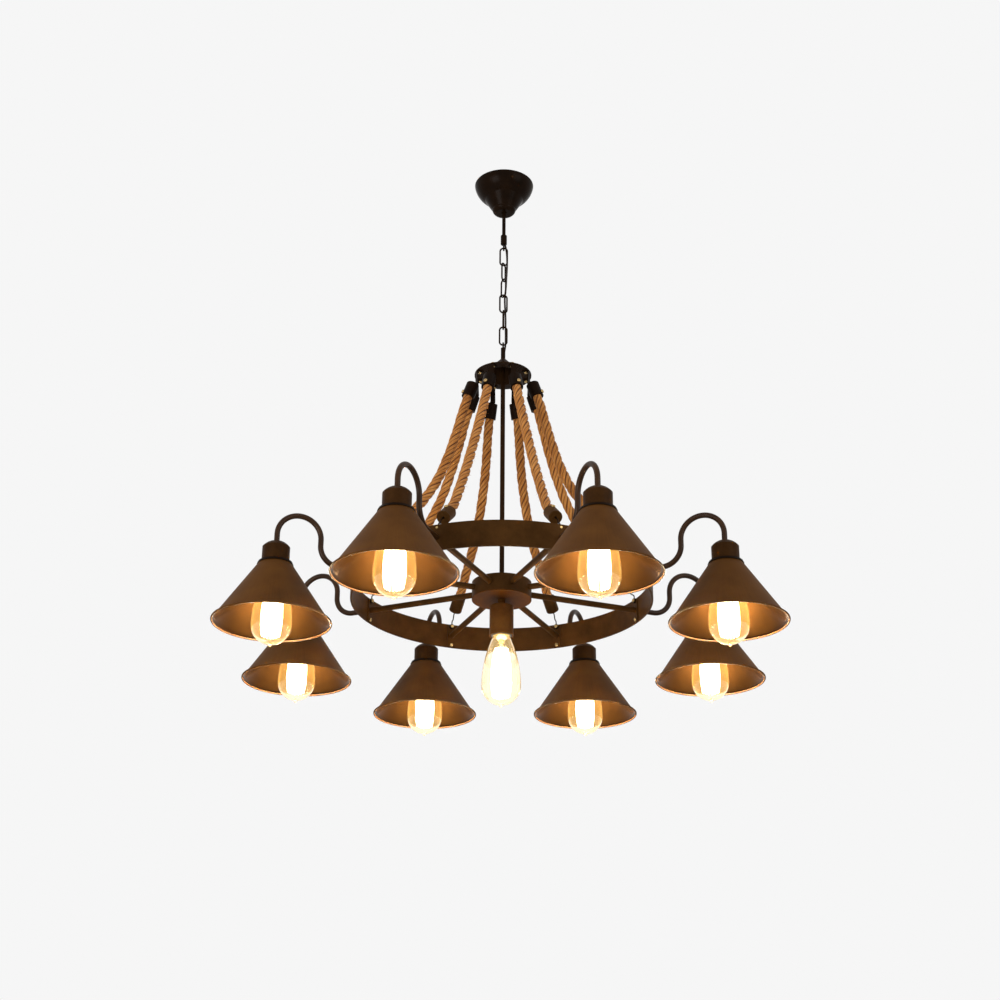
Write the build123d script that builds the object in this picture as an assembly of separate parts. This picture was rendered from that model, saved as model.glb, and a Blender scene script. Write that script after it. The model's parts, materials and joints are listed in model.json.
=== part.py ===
from build123d import *
import math
import os

# A wheel chandelier: a ceiling cup, a chain, a ring on spokes and ropes, eight shaded lamps on
# goosenecks and one bare lamp under the hub. Millimetres, +Z up. The origin is the middle of the
# ceiling face. Arms are counted from +X towards +Y. A (reach, rise) pair is a distance from the
# lamp's axis and a height above the ring's middle plane.

# Clearances
slip_fit = 0.1  # radial, round a piece that passes through a hole
rope_slip = 0.2  # radial, rope in its ferrule
chain_gap = 0.5  # between the wires of two linked chain pieces
screw_in_gap = 0.5  # radial, lamp cap in its holder
bend_share = 0.45  # the part of a straight run that the bend at one of its ends may take

# Ceiling bracket
bracket_length = 96.0
bracket_width = 20.0
bracket_sheet = 2.0
bracket_drop = 24.0
bracket_inner_span = 44.0
ceiling_hole_spacing = 74.0
ceiling_hole_radius = 2.5

# Ceiling cup
cup_rim_radius = 54.0
cup_rim_edge = 1.5
cup_bulge_radius = 49.3
cup_waist_radius = 36.0
cup_waist_depth = 29.0
cup_step = 1.5
cup_foot_radius = 21.5
cup_foot_round = 8.0
cup_foot_curve = 8.4
cup_height = 60.0
cup_sheet = 1.2

# Terminal block
block_width = 14.0
block_height = 10.0
block_ceiling_gap = 4.0

# Stem and its eye
stem_radius = 3.25
stem_bore_radius = 2.1
stem_above_bracket = 9.0
stem_flange_radius = 5.0
stem_flange = 1.5
stem_reach = 108.0  # ceiling to the top of the knuckle
stem_in_knuckle = 3.0
knuckle_radius = 5.7
knuckle_height = 19.5
knuckle_round = 1.5
stem_nut_flats = 11.0
stem_nut_height = 4.0

# Chain
wire_radius = 1.5
link_inner_length = 33.5
link_inner_width = 10.0
eye_ring_radius = 5.0  # to the middle of the wire
eye_neck = 1.2
link_turns = (0.0, 63.0, 128.0, 192.0, 275.0, 360.0)  # how far each link is twisted, in degrees

# Centre tube and crown
eye_boss_length = 21.0
tube_radius = 4.0
tube_bore_radius = 2.8
crown_brim_radius = 50.0
crown_cone_radius = 34.0
crown_cone_height = 32.0
crown_sheet = 1.8
crown_tip_gap = 1.0
crown_rise = 405.0  # ring's middle plane to the crown's brim
tube_nut_flats = 13.0
tube_nut_height = 5.0

# Ring, hub and spokes
ring_radius = 250.0
ring_height = 43.0
ring_sheet = 3.0
hub_radius = 49.5
hub_height = 30.0
hub_below = 16.5  # ring's middle plane to the underside of the hub's cover
hub_sheet = 1.5
hub_lip_height = 4.0
tube_in_hub = 8.0
spoke_radius = 5.0
spoke_bore_radius = 4.0
spoke_in_hub = 3.5
spoke_plate_width = 14.0
spoke_plate_height = 40.0
spoke_plate_sheet = 2.0
ring_screw_rise = 17.0

# Small screws
screw_radius = 2.0
screw_head_radius = 3.4
screw_head_height = 2.4
screw_head_round = 1.7
screw_nut_flats = 7.0
screw_nut_height = 2.6

# Ropes and ferrules
rope_radius = 8.0
ferrule_wall = 3.0
ferrule_length = 28.0
ferrule_cap = 2.0
ferrule_screw_inset = 6.0
ferrule_screw_gap = 0.2
hanger_sheet = 1.6
hanger_width = 9.0
hanger_hole_radius_from_axis = 43.5
hanger_inner_reach = 38.0
hanger_web_reach = 50.0
hanger_foot = 5.0
hanger_bend = 2.6
hanger_drop = 30.0  # crown's brim to the ferrule's closed end
upper_ferrule_reach = 56.0
upper_slope = 70.6
lower_slope = 40.0
hook_reach = 19.0  # ring's inner face to the ferrule's closed end
hook_rise = 20.0  # ring's top edge to the ferrule's closed end
hook_wire_radius = 1.0
hook_eye_radius = 4.5
hook_eye_sheet = 2.4
hook_bend = 3.0
hook_stub = 9.0  # straight wire below the ferrule
upper_lead = 40.0
lower_lead = 40.0

# Where each kind of rope hangs between its ferrules, as (reach, rise) points
taut_rope = [(90.5, 286.0), (111.0, 238.0), (132.0, 192.0), (152.0, 150.0), (174.0, 109.0)]
middle_rope = [(79.5, 296.0), (91.0, 254.0), (103.0, 216.0), (117.0, 181.0), (136.0, 147.0), (161.0, 114.0)]
slack_rope = [(75.0, 292.0), (83.0, 248.0), (96.0, 206.0), (114.0, 166.0), (138.0, 130.0), (168.0, 101.0)]

# Arms
arm_count = 8
first_arm_angle = 22.5
arm_radius = 4.5
arm_bore_radius = 3.0
arm_spigot_radius = 3.9
arm_spigot_length = 18.0
arm_straight = 30.0
arm_riser_reach = 312.0
arm_riser_length = 10.0
shade_circle_radius = 384.0

# Shades, caps and lamp holders
shade_below_ring = 9.0  # ring's middle plane to the shade's flat top
shade_top_radius = 25.5
shade_rim_radius = 93.0
shade_height = 98.0
shade_lip_width = 4.0
shade_lip_height = 6.0
shade_sheet = 0.8
shade_bead_radius = 1.2
cap_radius = 22.0
cap_straight = 27.0
cap_dome = 11.0
cap_sheet = 1.2
cap_skirt_sheet = 1.4
cap_skirt_drop = 2.5  # how far the skirt reaches down the shade
holder_body_radius = 18.5
holder_body_height = 23.0
holder_barrel_radius = 16.8
holder_barrel_length = 17.3
holder_floor = 14.0
spigot_in_holder = 8.0
shade_ring_radius = 23.0
shade_ring_height = 8.0

# Bare lamp under the hub
centre_sleeve_length = 11.0
centre_sleeve_radius = 6.3
centre_cup_radius = 19.8
centre_cup_height = 51.5
centre_cup_round = 1.5
centre_cup_sheet = 1.2
nipple_radius = 3.9
nipple_bore_radius = 2.2
nipple_in_hub = 8.0

# Bulbs
bulb_cap_radius = 13.2
bulb_cap_height = 23.0
bulb_cap_sheet = 0.8
bulb_insulator_height = 2.0
bulb_contact_radius = 4.5
bulb_contact_height = 1.0
bulb_neck_radius = 14.5
bulb_neck_length = 2.0
bulb_radius = 32.0
bulb_widest = 84.0
bulb_length = 120.0  # of the glass
bulb_tip_radius = 4.0
bulb_glass = 1.0
bulb_seat_gap = 1.0
filament_circle_radius = 10.5
filament_radius = 0.8
filament_count = 6
filament_start = 24.0
filament_length = 70.0
filament_disc = 1.2
stem_foot_radius = 8.7

# Wires
cord_radius = 1.7
cord_channel_gap = 0.3
lead_radius = 1.5
lead_start_reach = 16.0

# The cord's way down: (x, y, height from the ceiling), from the block, beside the links, into the tube
cord_bend_in_knuckle = (0.0, 0.0, -116.0)
cord_beside_chain = [
    (4.4, 3.9, -134.0),
    (6.1, 4.4, -152.0),
    (6.3, 3.9, -170.0),
    (5.7, 2.3, -187.0),
    (4.9, 0.7, -203.0),
    (4.3, 2.9, -219.0),
    (2.2, 4.5, -236.0),
    (2.4, 4.9, -252.0),
    (3.6, 4.7, -269.0),
    (4.1, 4.4, -286.0),
    (3.9, 4.2, -302.0),
    (4.3, 4.3, -319.0),
    (4.1, 4.1, -338.0),
]
cord_bend_in_boss = (0.0, 0.0, -362.0)

# Levels, from the ceiling down
bracket_plate_z = -bracket_drop
stem_top_z = bracket_plate_z + stem_above_bracket
knuckle_bottom_z = -stem_reach - knuckle_height
stem_ring_z = knuckle_bottom_z - eye_neck - eye_ring_radius
link_pitch = link_inner_length - chain_gap
wire_to_wire = 2 * wire_radius + chain_gap
first_link_top_z = stem_ring_z - eye_ring_radius + wire_to_wire
last_link_bottom_z = first_link_top_z - (len(link_turns) - 1) * link_pitch - link_inner_length - 2 * wire_radius
frame_ring_z = last_link_bottom_z + wire_to_wire - eye_ring_radius
boss_bottom_z = frame_ring_z - eye_ring_radius - eye_boss_length
crown_brim_z = boss_bottom_z - crown_tip_gap - crown_cone_height
ring_z = crown_brim_z - crown_rise
hub_bottom_z = ring_z - hub_below
hub_top_z = hub_bottom_z + hub_height
shade_top_z = ring_z - shade_below_ring
cap_top_z = shade_top_z + cap_straight + cap_dome
holder_top_z = shade_top_z + holder_body_height
centre_cup_top_z = hub_bottom_z - centre_sleeve_length
centre_cup_bottom_z = centre_cup_top_z - centre_cup_height
holder_length = holder_body_height + holder_barrel_length
centre_holder_top_z = centre_cup_bottom_z + holder_length

# Radii that follow from others
ring_inner_radius = ring_radius - ring_sheet
ferrule_bore_radius = rope_radius + rope_slip
ferrule_radius = ferrule_bore_radius + ferrule_wall
spoke_plate_reach = ring_inner_radius - spoke_plate_sheet
holder_bore_radius = bulb_cap_radius + screw_in_gap
shade_lip_radius = shade_rim_radius - shade_lip_width
shade_cone_slope = (shade_lip_radius - shade_top_radius) / (shade_height - shade_lip_height)  # reach per drop
arm_angles = [first_arm_angle + k * 360 / arm_count for k in range(arm_count)]


def save(name, *pieces):
    """Writes one node, a single solid or a group of separate ones."""
    solids = [solid for piece in pieces for solid in piece.solids()]
    shape = solids[0] if len(solids) == 1 else Compound(children=solids)
    export_step(shape, f"parts/{name}.step")


def upright(bottom_z, top_z, radius):
    """A round bar on the lamp's axis."""
    return Pos(0, 0, bottom_z) * Cylinder(radius, top_z - bottom_z, align=(Align.CENTER, Align.CENTER, Align.MIN))


def turned(points):
    """The solid that a closed outline of (reach, height) points sweeps round the axis."""
    return revolve(Plane.XZ * make_face(Polyline(*points, close=True)), Axis.Z)


def turned_edges(edges):
    """As turned, for an outline of lines and arcs."""
    return revolve(Plane.XZ * make_face(edges), Axis.Z)


def radial_bar(inner_reach, outer_reach, z, radius):
    """A round bar that points away from the axis along +X."""
    length = outer_reach - inner_reach
    bar = Cylinder(radius, length, align=(Align.CENTER, Align.CENTER, Align.MIN))
    return Pos(inner_reach, 0, z) * Rot(0, 90, 0) * bar


def hexagon_nut(z, flats, height, hole_radius):
    """A nut that stands on z, on the axis."""
    outline = RegularPolygon(flats / 2, 6, major_radius=False) - Circle(hole_radius)
    return Pos(0, 0, z) * extrude(outline, height)


def at_arm(shape, angle):
    """A shape made along +X, turned to one arm's place."""
    return Rot(0, 0, angle) * shape


def round_the_lamp(shape):
    """One copy of a shape at each arm."""
    return [at_arm(shape, angle) for angle in arm_angles]


def swept(path, radius, bore_radius=0.0):
    """A round bar or tube along a path."""
    section = Circle(radius)
    if bore_radius:
        section = section - Circle(bore_radius)
    return sweep(Plane(origin=path @ 0, z_dir=path % 0) * section, path=path)


def bend_radii(points):
    """The largest radius that each corner's two runs allow."""
    corners = zip(points, points[1:], points[2:])
    radii = []
    for before, corner, after in corners:
        run_in = Vector(*corner) - Vector(*before)
        run_out = Vector(*after) - Vector(*corner)
        half_turn = math.radians(run_in.get_angle(run_out)) / 2
        radii.append(bend_share * min(run_in.length, run_out.length) / math.tan(half_turn))
    return radii


def cord_path(name, points):
    """Straight runs joined by the largest tangent arcs, with the least radius printed."""
    radii = bend_radii(points)
    path = FilletPolyline(*points, radius=radii)
    print(f"{name}: length {path.length:.1f} mm, least radius {min(radii):.1f} mm")
    return path


def screw(length):
    """A pan-head screw along +Z, its head's flat underside at z 0 and its shank above it."""
    head = Pos(0, 0, -screw_head_height) * Cylinder(
        screw_head_radius, screw_head_height, align=(Align.CENTER, Align.CENTER, Align.MIN)
    )
    head = fillet(head.edges().sort_by(Axis.Z)[0], screw_head_round)
    shank = Cylinder(screw_radius, length, align=(Align.CENTER, Align.CENTER, Align.MIN))
    return head + shank


def ceiling_bracket():
    """A strap bent like a hat, its feet on the ceiling and its middle lower."""
    half = bracket_length / 2
    outer_half_span = bracket_inner_span / 2 + bracket_sheet
    inner_half_span = bracket_inner_span / 2
    low = bracket_plate_z - bracket_sheet
    right_side = [
        (0, low),
        (outer_half_span, low),
        (outer_half_span, -bracket_sheet),
        (half, -bracket_sheet),
        (half, 0),
        (inner_half_span, 0),
        (inner_half_span, bracket_plate_z),
        (0, bracket_plate_z),
    ]
    left_side = [(-x, z) for x, z in reversed(right_side[1:-1])]
    profile = Plane.XZ * make_face(Polyline(*right_side, *left_side, close=True))
    strap = extrude(profile, bracket_width / 2, both=True)
    strap -= upright(low, bracket_plate_z, stem_radius + slip_fit)
    for side in (-1, 1):
        strap -= Pos(side * ceiling_hole_spacing / 2, 0, 0) * upright(-bracket_sheet, 0, ceiling_hole_radius)
    return strap


def cup_body(inset):
    """The cup's outline as a filled solid, drawn in by inset."""
    rim = cup_rim_radius - inset
    bulge = (cup_bulge_radius - inset, -cup_waist_depth / 2)
    waist = (cup_waist_radius - inset, -cup_waist_depth)
    neck = (cup_waist_radius - cup_step - inset, -cup_waist_depth - cup_step)
    floor = -cup_height + inset
    foot = (cup_foot_radius - inset, floor + cup_foot_round)
    foot_end = (cup_foot_radius - inset - cup_foot_round, floor)
    edges = [
        Line((0, 0), (rim, 0)),
        Line((rim, 0), (rim, -cup_rim_edge)),
        ThreePointArc((rim, -cup_rim_edge), bulge, waist),
        Line(waist, neck),
        Line(neck, foot),
        RadiusArc(foot, foot_end, cup_foot_curve),
        Line(foot_end, (0, floor)),
        Line((0, floor), (0, 0)),
    ]
    return turned_edges(edges)


def ceiling_cup():
    cup = cup_body(0) - cup_body(cup_sheet)
    return cup - upright(-cup_height, -cup_height + 2 * cup_sheet, stem_radius + slip_fit)


def canopy_stem():
    """The hollow rod, with a thin flange that carries the cup."""
    bottom = -stem_reach - stem_in_knuckle
    rod = upright(bottom, stem_top_z, stem_radius)
    rod += upright(-cup_height - stem_flange, -cup_height, stem_flange_radius)
    return rod - upright(bottom, stem_top_z, stem_bore_radius)


def canopy_nuts():
    hole = stem_radius + slip_fit
    return [
        hexagon_nut(bracket_plate_z, stem_nut_flats, stem_nut_height, hole),
        hexagon_nut(bracket_plate_z - bracket_sheet - stem_nut_height, stem_nut_flats, stem_nut_height, hole),
        hexagon_nut(-cup_height + cup_sheet, stem_nut_flats, stem_nut_height, hole),
    ]


def terminal_block():
    """A block that fits between the bracket's legs, with screw wells on top."""
    length = bracket_inner_span - 2 * slip_fit
    top = -block_ceiling_gap
    block = Pos(0, 0, top - block_height / 2) * Box(length, block_width, block_height)
    well = Cylinder(block_width / 5, block_height, align=(Align.CENTER, Align.CENTER, Align.MIN))
    for side in (-1, 0, 1):
        block -= Pos(side * length / 3, 0, top - block_height / 3) * well
    return block


def power_cord_path():
    start = (0.0, 0.0, -block_ceiling_gap - block_height)
    end = (0.0, 0.0, hub_top_z - hub_sheet - tube_in_hub)
    points = [start, cord_bend_in_knuckle, *cord_beside_chain, cord_bend_in_boss, end]
    return cord_path("power cord", points)


def wire_ring(z):
    """A round eye of chain wire that faces along X."""
    return Pos(0, 0, z) * Rot(0, 90, 0) * Torus(eye_ring_radius, wire_radius)


def stem_eye(cord_channel):
    knuckle = upright(knuckle_bottom_z, -stem_reach, knuckle_radius)
    knuckle = fillet(knuckle.edges().filter_by(GeomType.CIRCLE), knuckle_round)
    knuckle += wire_ring(stem_ring_z)
    knuckle -= upright(-stem_reach - stem_in_knuckle, -stem_reach, stem_radius)
    return knuckle - cord_channel


def chain_link(top_z, turn):
    """An oblong link of round wire. top_z is the middle of its upper wire."""
    half_width = link_inner_width / 2 + wire_radius
    straight = link_inner_length - link_inner_width
    upper = top_z - half_width
    lower = upper - straight
    edges = [
        Line((half_width, 0, lower), (half_width, 0, upper)),
        ThreePointArc((half_width, 0, upper), (0, 0, top_z), (-half_width, 0, upper)),
        Line((-half_width, 0, upper), (-half_width, 0, lower)),
        ThreePointArc((-half_width, 0, lower), (0, 0, lower - half_width), (half_width, 0, lower)),
    ]
    return Rot(0, 0, turn) * swept(Wire(edges), wire_radius)


def frame_eye(cord_channel):
    top = frame_ring_z - eye_ring_radius
    boss = upright(boss_bottom_z, top, tube_radius) + wire_ring(frame_ring_z)
    return boss - cord_channel


def centre_tube():
    bottom = hub_top_z - hub_sheet - tube_in_hub
    return upright(bottom, boss_bottom_z, tube_radius) - upright(bottom, boss_bottom_z, tube_bore_radius)


def crown_plate():
    """A flat brim with a raised cone, one sheet thick, drilled for the hangers."""
    hole = tube_radius + slip_fit
    top = crown_brim_z + crown_cone_height
    slope = math.atan2(crown_cone_height, crown_cone_radius - hole)
    across = crown_sheet / math.sin(slope)
    lowered = crown_sheet / math.cos(slope)
    plate = turned(
        [
            (crown_brim_radius, crown_brim_z),
            (crown_brim_radius, crown_brim_z - crown_sheet),
            (crown_cone_radius - across / 2, crown_brim_z - crown_sheet),
            (hole, top - lowered),
            (hole, top),
            (crown_cone_radius, crown_brim_z),
        ]
    )
    for angle in arm_angles:
        drill = Pos(hanger_hole_radius_from_axis, 0, 0) * upright(
            crown_brim_z - crown_sheet, crown_brim_z, screw_radius + slip_fit
        )
        plate -= at_arm(drill, angle)
    return plate


def centre_nuts():
    """One nut holds the crown from inside its cone, one holds the tube in the hub."""
    hole = tube_radius + slip_fit
    slope = math.atan2(crown_cone_height, crown_cone_radius - hole)
    nut_corner = tube_nut_flats / math.sqrt(3)
    under_cone = crown_brim_z + crown_cone_height - crown_sheet / math.cos(slope)
    crown_nut_z = under_cone - (nut_corner - hole) * math.tan(slope) - tube_nut_height
    return [
        hexagon_nut(crown_nut_z, tube_nut_flats, tube_nut_height, hole),
        hexagon_nut(hub_top_z - hub_sheet - tube_nut_height, tube_nut_flats, tube_nut_height, hole),
    ]


def hub_drum():
    cover_top = hub_bottom_z + hub_sheet
    drum = upright(cover_top, hub_top_z, hub_radius)
    drum -= upright(cover_top, hub_top_z - hub_sheet, hub_radius - hub_sheet)
    drum -= upright(hub_top_z - hub_sheet, hub_top_z, tube_radius + slip_fit)
    for angle in arm_angles:
        drum -= at_arm(radial_bar(hub_radius / 2, hub_radius + 1, ring_z, spoke_radius + slip_fit), angle)
    return drum


def hub_cover():
    """The disc under the hub, with a lip that centres it in the drum."""
    cover_top = hub_bottom_z + hub_sheet
    lip_radius = hub_radius - hub_sheet - slip_fit
    cover = upright(hub_bottom_z, cover_top, hub_radius)
    lip = upright(cover_top, cover_top + hub_lip_height, lip_radius)
    lip -= upright(cover_top, cover_top + hub_lip_height, lip_radius - hub_sheet)
    return cover + lip - upright(hub_bottom_z, cover_top, nipple_radius + slip_fit)


def spoke():
    """A tube from the hub to the ring, with a plate at its end for two screws."""
    inner = hub_radius - spoke_in_hub
    inside_ring = upright(ring_z - ring_height, ring_z + ring_height, ring_inner_radius)
    plate_middle = ring_inner_radius - spoke_plate_sheet / 2
    plate = Pos(plate_middle, 0, ring_z) * Box(spoke_plate_sheet, spoke_plate_width, spoke_plate_height)
    bar = (radial_bar(inner, ring_inner_radius, ring_z, spoke_radius) + plate) & inside_ring
    bar -= radial_bar(inner, ring_radius, ring_z, spoke_bore_radius)
    for side in (-1, 1):
        z = ring_z + side * ring_screw_rise
        bar -= radial_bar(spoke_plate_reach - 1, ring_radius, z, screw_radius + slip_fit)
    return bar


def ring_band():
    half = ring_height / 2
    band = upright(ring_z - half, ring_z + half, ring_radius)
    band -= upright(ring_z - half, ring_z + half, ring_inner_radius)
    for angle in arm_angles:
        band -= at_arm(radial_bar(ring_inner_radius - 2, ring_radius + 2, ring_z, spoke_bore_radius), angle)
        for side in (-1, 1):
            z = ring_z + side * ring_screw_rise
            drill = radial_bar(ring_inner_radius - 2, ring_radius + 2, z, screw_radius + slip_fit)
            band -= at_arm(drill, angle)
    return band


def ring_screws():
    """Each spoke plate has two, and the upper one clamps the rope's hook too."""
    upper = Pos(spoke_plate_reach - hook_eye_sheet, 0, ring_z + ring_screw_rise) * Rot(0, 90, 0)
    lower = Pos(spoke_plate_reach, 0, ring_z - ring_screw_rise) * Rot(0, 90, 0)
    long_screw = upper * screw(ring_radius - spoke_plate_reach + hook_eye_sheet)
    short_screw = lower * screw(ring_radius - spoke_plate_reach)
    return round_the_lamp(long_screw) + round_the_lamp(short_screw)


def along(start, slope, distance):
    """The (reach, rise) point that lies down a slope from start."""
    angle = math.radians(slope)
    return (start[0] + distance * math.cos(angle), start[1] - distance * math.sin(angle))


upper_ferrule_end = (upper_ferrule_reach, crown_rise - hanger_drop)
lower_ferrule_end = (ring_inner_radius - hook_reach, ring_height / 2 + hook_rise)


def in_arm_plane(point):
    """A (reach, rise) pair as a point on the plane of the arm along +X."""
    return (point[0], 0.0, ring_z + point[1])


def ferrule():
    """A cup that grips a rope's end, its closed end at z 0 and its mouth up, with a screw hole."""
    cup = upright(0, ferrule_length, ferrule_radius) - upright(ferrule_cap, ferrule_length, ferrule_bore_radius)
    cup = fillet(cup.edges().sort_by(Axis.Z)[0], ferrule_cap / 2)
    cup -= upright(0, ferrule_cap, screw_radius + slip_fit)
    hole_z = ferrule_length - ferrule_screw_inset
    return cup - radial_bar(0, ferrule_radius + 1, hole_z, screw_radius + slip_fit)


def on_upper_end():
    """The place of an upper ferrule: its mouth points down the rope, its screw outwards."""
    angle = math.radians(upper_slope)
    down_rope = (math.cos(angle), 0, -math.sin(angle))
    outwards = (math.sin(angle), 0, math.cos(angle))
    return Plane(origin=in_arm_plane(upper_ferrule_end), x_dir=outwards, z_dir=down_rope)


def on_lower_end():
    """The place of a lower ferrule: its mouth points up the rope, its screw outwards."""
    angle = math.radians(lower_slope)
    up_rope = (-math.cos(angle), 0, math.sin(angle))
    outwards = (math.sin(angle), 0, math.cos(angle))
    return Plane(origin=in_arm_plane(lower_ferrule_end), x_dir=outwards, z_dir=up_rope)


def grip_screw():
    """The screw that goes through a ferrule's wall as far as the rope."""
    place = Pos(ferrule_radius + ferrule_screw_gap, 0, ferrule_length - ferrule_screw_inset) * Rot(0, -90, 0)
    return place * screw(ferrule_wall)


def ferrule_screws():
    screws = []
    for place in (on_upper_end(), on_lower_end()):
        screws += round_the_lamp(place * grip_screw())
    return screws


def rope_hanger():
    """A strap that runs under the brim, down, and out again along the ferrule's closed end."""
    half = hanger_sheet / 2
    angle = math.radians(upper_slope)
    seat = along(upper_ferrule_end, upper_slope, -half)
    face = (math.sin(angle), math.cos(angle))
    brim_rise = crown_rise - crown_sheet - half
    foot_inner = (hanger_web_reach - hanger_sheet - seat[0]) / face[0]
    points = [
        (hanger_inner_reach, brim_rise),
        (hanger_web_reach, brim_rise),
        (seat[0] + foot_inner * face[0], seat[1] + foot_inner * face[1]),
        (seat[0] + hanger_foot * face[0], seat[1] + hanger_foot * face[1]),
    ]
    path = FilletPolyline(*[in_arm_plane(point) for point in points], radius=hanger_bend)
    start = Plane(origin=path @ 0, x_dir=(0, 1, 0), z_dir=path % 0)
    strap = sweep(start * Rectangle(hanger_width, hanger_sheet), path=path)
    drill = upright(crown_brim_z - 4 * hanger_sheet, crown_brim_z, screw_radius + slip_fit)
    strap -= Pos(hanger_hole_radius_from_axis, 0, 0) * drill
    return strap - on_upper_end() * upright(-2 * hanger_sheet, 0, screw_radius + slip_fit)


def hanger_screws():
    """A screw and nut hold each strap to the brim, and a second screw holds the ferrule to the strap."""
    low = crown_brim_z - crown_sheet - hanger_sheet
    reach = crown_sheet + hanger_sheet + screw_nut_height
    brim_screw = Pos(hanger_hole_radius_from_axis, 0, low) * screw(reach)
    nut = hexagon_nut(crown_brim_z, screw_nut_flats, screw_nut_height, screw_radius + slip_fit)
    brim_nut = Pos(hanger_hole_radius_from_axis, 0, 0) * nut
    end_screw = on_upper_end() * Pos(0, 0, -hanger_sheet) * screw(hanger_sheet + ferrule_cap)
    return round_the_lamp(brim_screw) + round_the_lamp(brim_nut) + round_the_lamp(end_screw)


def rope_hook():
    """A bent wire from the ferrule's closed end to an eye under the ring's upper screw."""
    eye_reach = spoke_plate_reach - hook_eye_sheet / 2
    eye_top = ring_screw_rise + hook_eye_radius - hook_wire_radius
    start = along(lower_ferrule_end, lower_slope, -ferrule_cap)
    out = along(lower_ferrule_end, lower_slope, hook_stub)
    last = (eye_reach, eye_top)
    above_eye = (eye_reach, eye_top + 2 * hook_bend)
    kink = ((out[0] + above_eye[0]) / 2 - hook_bend / 2, (out[1] + above_eye[1]) / 2 - hook_bend)
    points = [in_arm_plane(point) for point in (start, out, kink, above_eye, last)]
    radii = [min(hook_bend, radius) for radius in bend_radii(points)]
    wire = swept(FilletPolyline(*points, radius=radii), hook_wire_radius)
    inner_face = spoke_plate_reach - hook_eye_sheet
    eye = radial_bar(inner_face, spoke_plate_reach, ring_z + ring_screw_rise, hook_eye_radius)
    eye -= radial_bar(inner_face, spoke_plate_reach, ring_z + ring_screw_rise, screw_radius + slip_fit)
    return wire + eye


def rope(name, middle_points):
    """A rope along one of the routes, its ends flat against the two ferrules' caps."""
    start = along(upper_ferrule_end, upper_slope, ferrule_cap)
    end = along(lower_ferrule_end, lower_slope, -ferrule_cap)
    after_start = along(start, upper_slope, upper_lead)
    before_end = along(end, lower_slope, -lower_lead)
    route = [start, after_start, *middle_points, before_end, end]
    path = cord_path(name, [in_arm_plane(point) for point in route])
    solid = swept(path, rope_radius)
    print(f"{name}: volume over section times length {solid.volume / (math.pi * rope_radius**2 * path.length):.5f}")
    return solid


def ropes():
    """The two nearest the front are taut, the two at the back slack, the side ones between."""
    taut = rope("taut rope", taut_rope)
    middle = rope("middle rope", middle_rope)
    slack = rope("slack rope", slack_rope)
    kinds = [middle, slack, slack, middle, middle, taut, taut, middle]
    return [at_arm(kinds[k % len(kinds)], angle) for k, angle in enumerate(arm_angles)]


def gooseneck_line(start_reach, end_z):
    """The middle line of an arm: out, up, over and down, from start_reach to end_z."""
    arm_out = ring_radius + arm_straight
    rise_radius = arm_riser_reach - arm_out
    over_radius = (shade_circle_radius - arm_riser_reach) / 2
    riser_low = ring_z + rise_radius
    riser_high = riser_low + arm_riser_length
    middle = (arm_riser_reach + shade_circle_radius) / 2
    corner = math.sqrt(0.5)
    edges = [
        Line((start_reach, 0, ring_z), (arm_out, 0, ring_z)),
        ThreePointArc(
            (arm_out, 0, ring_z),
            (arm_out + rise_radius * corner, 0, riser_low - rise_radius * corner),
            (arm_riser_reach, 0, riser_low),
        ),
        Line((arm_riser_reach, 0, riser_low), (arm_riser_reach, 0, riser_high)),
        ThreePointArc(
            (arm_riser_reach, 0, riser_high),
            (middle, 0, riser_high + over_radius),
            (shade_circle_radius, 0, riser_high),
        ),
        Line((shade_circle_radius, 0, riser_high), (shade_circle_radius, 0, end_z)),
    ]
    return Wire(edges)


def arm():
    """A gooseneck tube with a thin spigot at each end, for the spoke and for the lamp holder."""
    tube = swept(gooseneck_line(ring_radius, cap_top_z), arm_radius, arm_bore_radius)
    root = radial_bar(ring_radius - arm_spigot_length, ring_radius, ring_z, arm_spigot_radius)
    root -= radial_bar(ring_radius - arm_spigot_length, ring_radius, ring_z, arm_bore_radius)
    foot_z = holder_top_z - spigot_in_holder
    foot = upright(foot_z, cap_top_z, arm_spigot_radius) - upright(foot_z, cap_top_z, arm_bore_radius)
    return tube + root + Pos(shade_circle_radius, 0, 0) * foot


def shade():
    """A cone of sheet with a flat top, a flared lip and a rolled bead, on the lamp's axis."""
    hole = holder_barrel_radius + slip_fit
    top = shade_top_z
    rim = top - shade_height
    lip_top = rim + shade_lip_height
    across = shade_sheet / math.cos(math.atan(shade_cone_slope))
    outline = [
        (hole, top),
        (shade_top_radius, top),
        (shade_lip_radius, lip_top),
        (shade_rim_radius, rim),
        (shade_rim_radius - across, rim),
        (shade_lip_radius - across, lip_top - shade_sheet / 2),
        (shade_top_radius - across / 2, top - shade_sheet),
        (hole, top - shade_sheet),
    ]
    profile = make_face(Polyline(*outline, close=True))
    profile += Pos(shade_rim_radius - across / 2, rim) * Circle(shade_bead_radius)
    return revolve(Plane.XZ * profile, Axis.Z)


def cap_body(radius, top_z):
    """The cap as a filled solid: a straight wall and a low dome that meets it at a crisp edge."""
    straight_top = shade_top_z + cap_straight
    dome_height = top_z - straight_top
    dome_radius = (radius**2 + dome_height**2) / (2 * dome_height)
    edges = [
        Line((0, shade_top_z), (radius, shade_top_z)),
        Line((radius, shade_top_z), (radius, straight_top)),
        RadiusArc((radius, straight_top), (0, top_z), -dome_radius),
        Line((0, top_z), (0, shade_top_z)),
    ]
    return turned_edges(edges)


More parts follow.
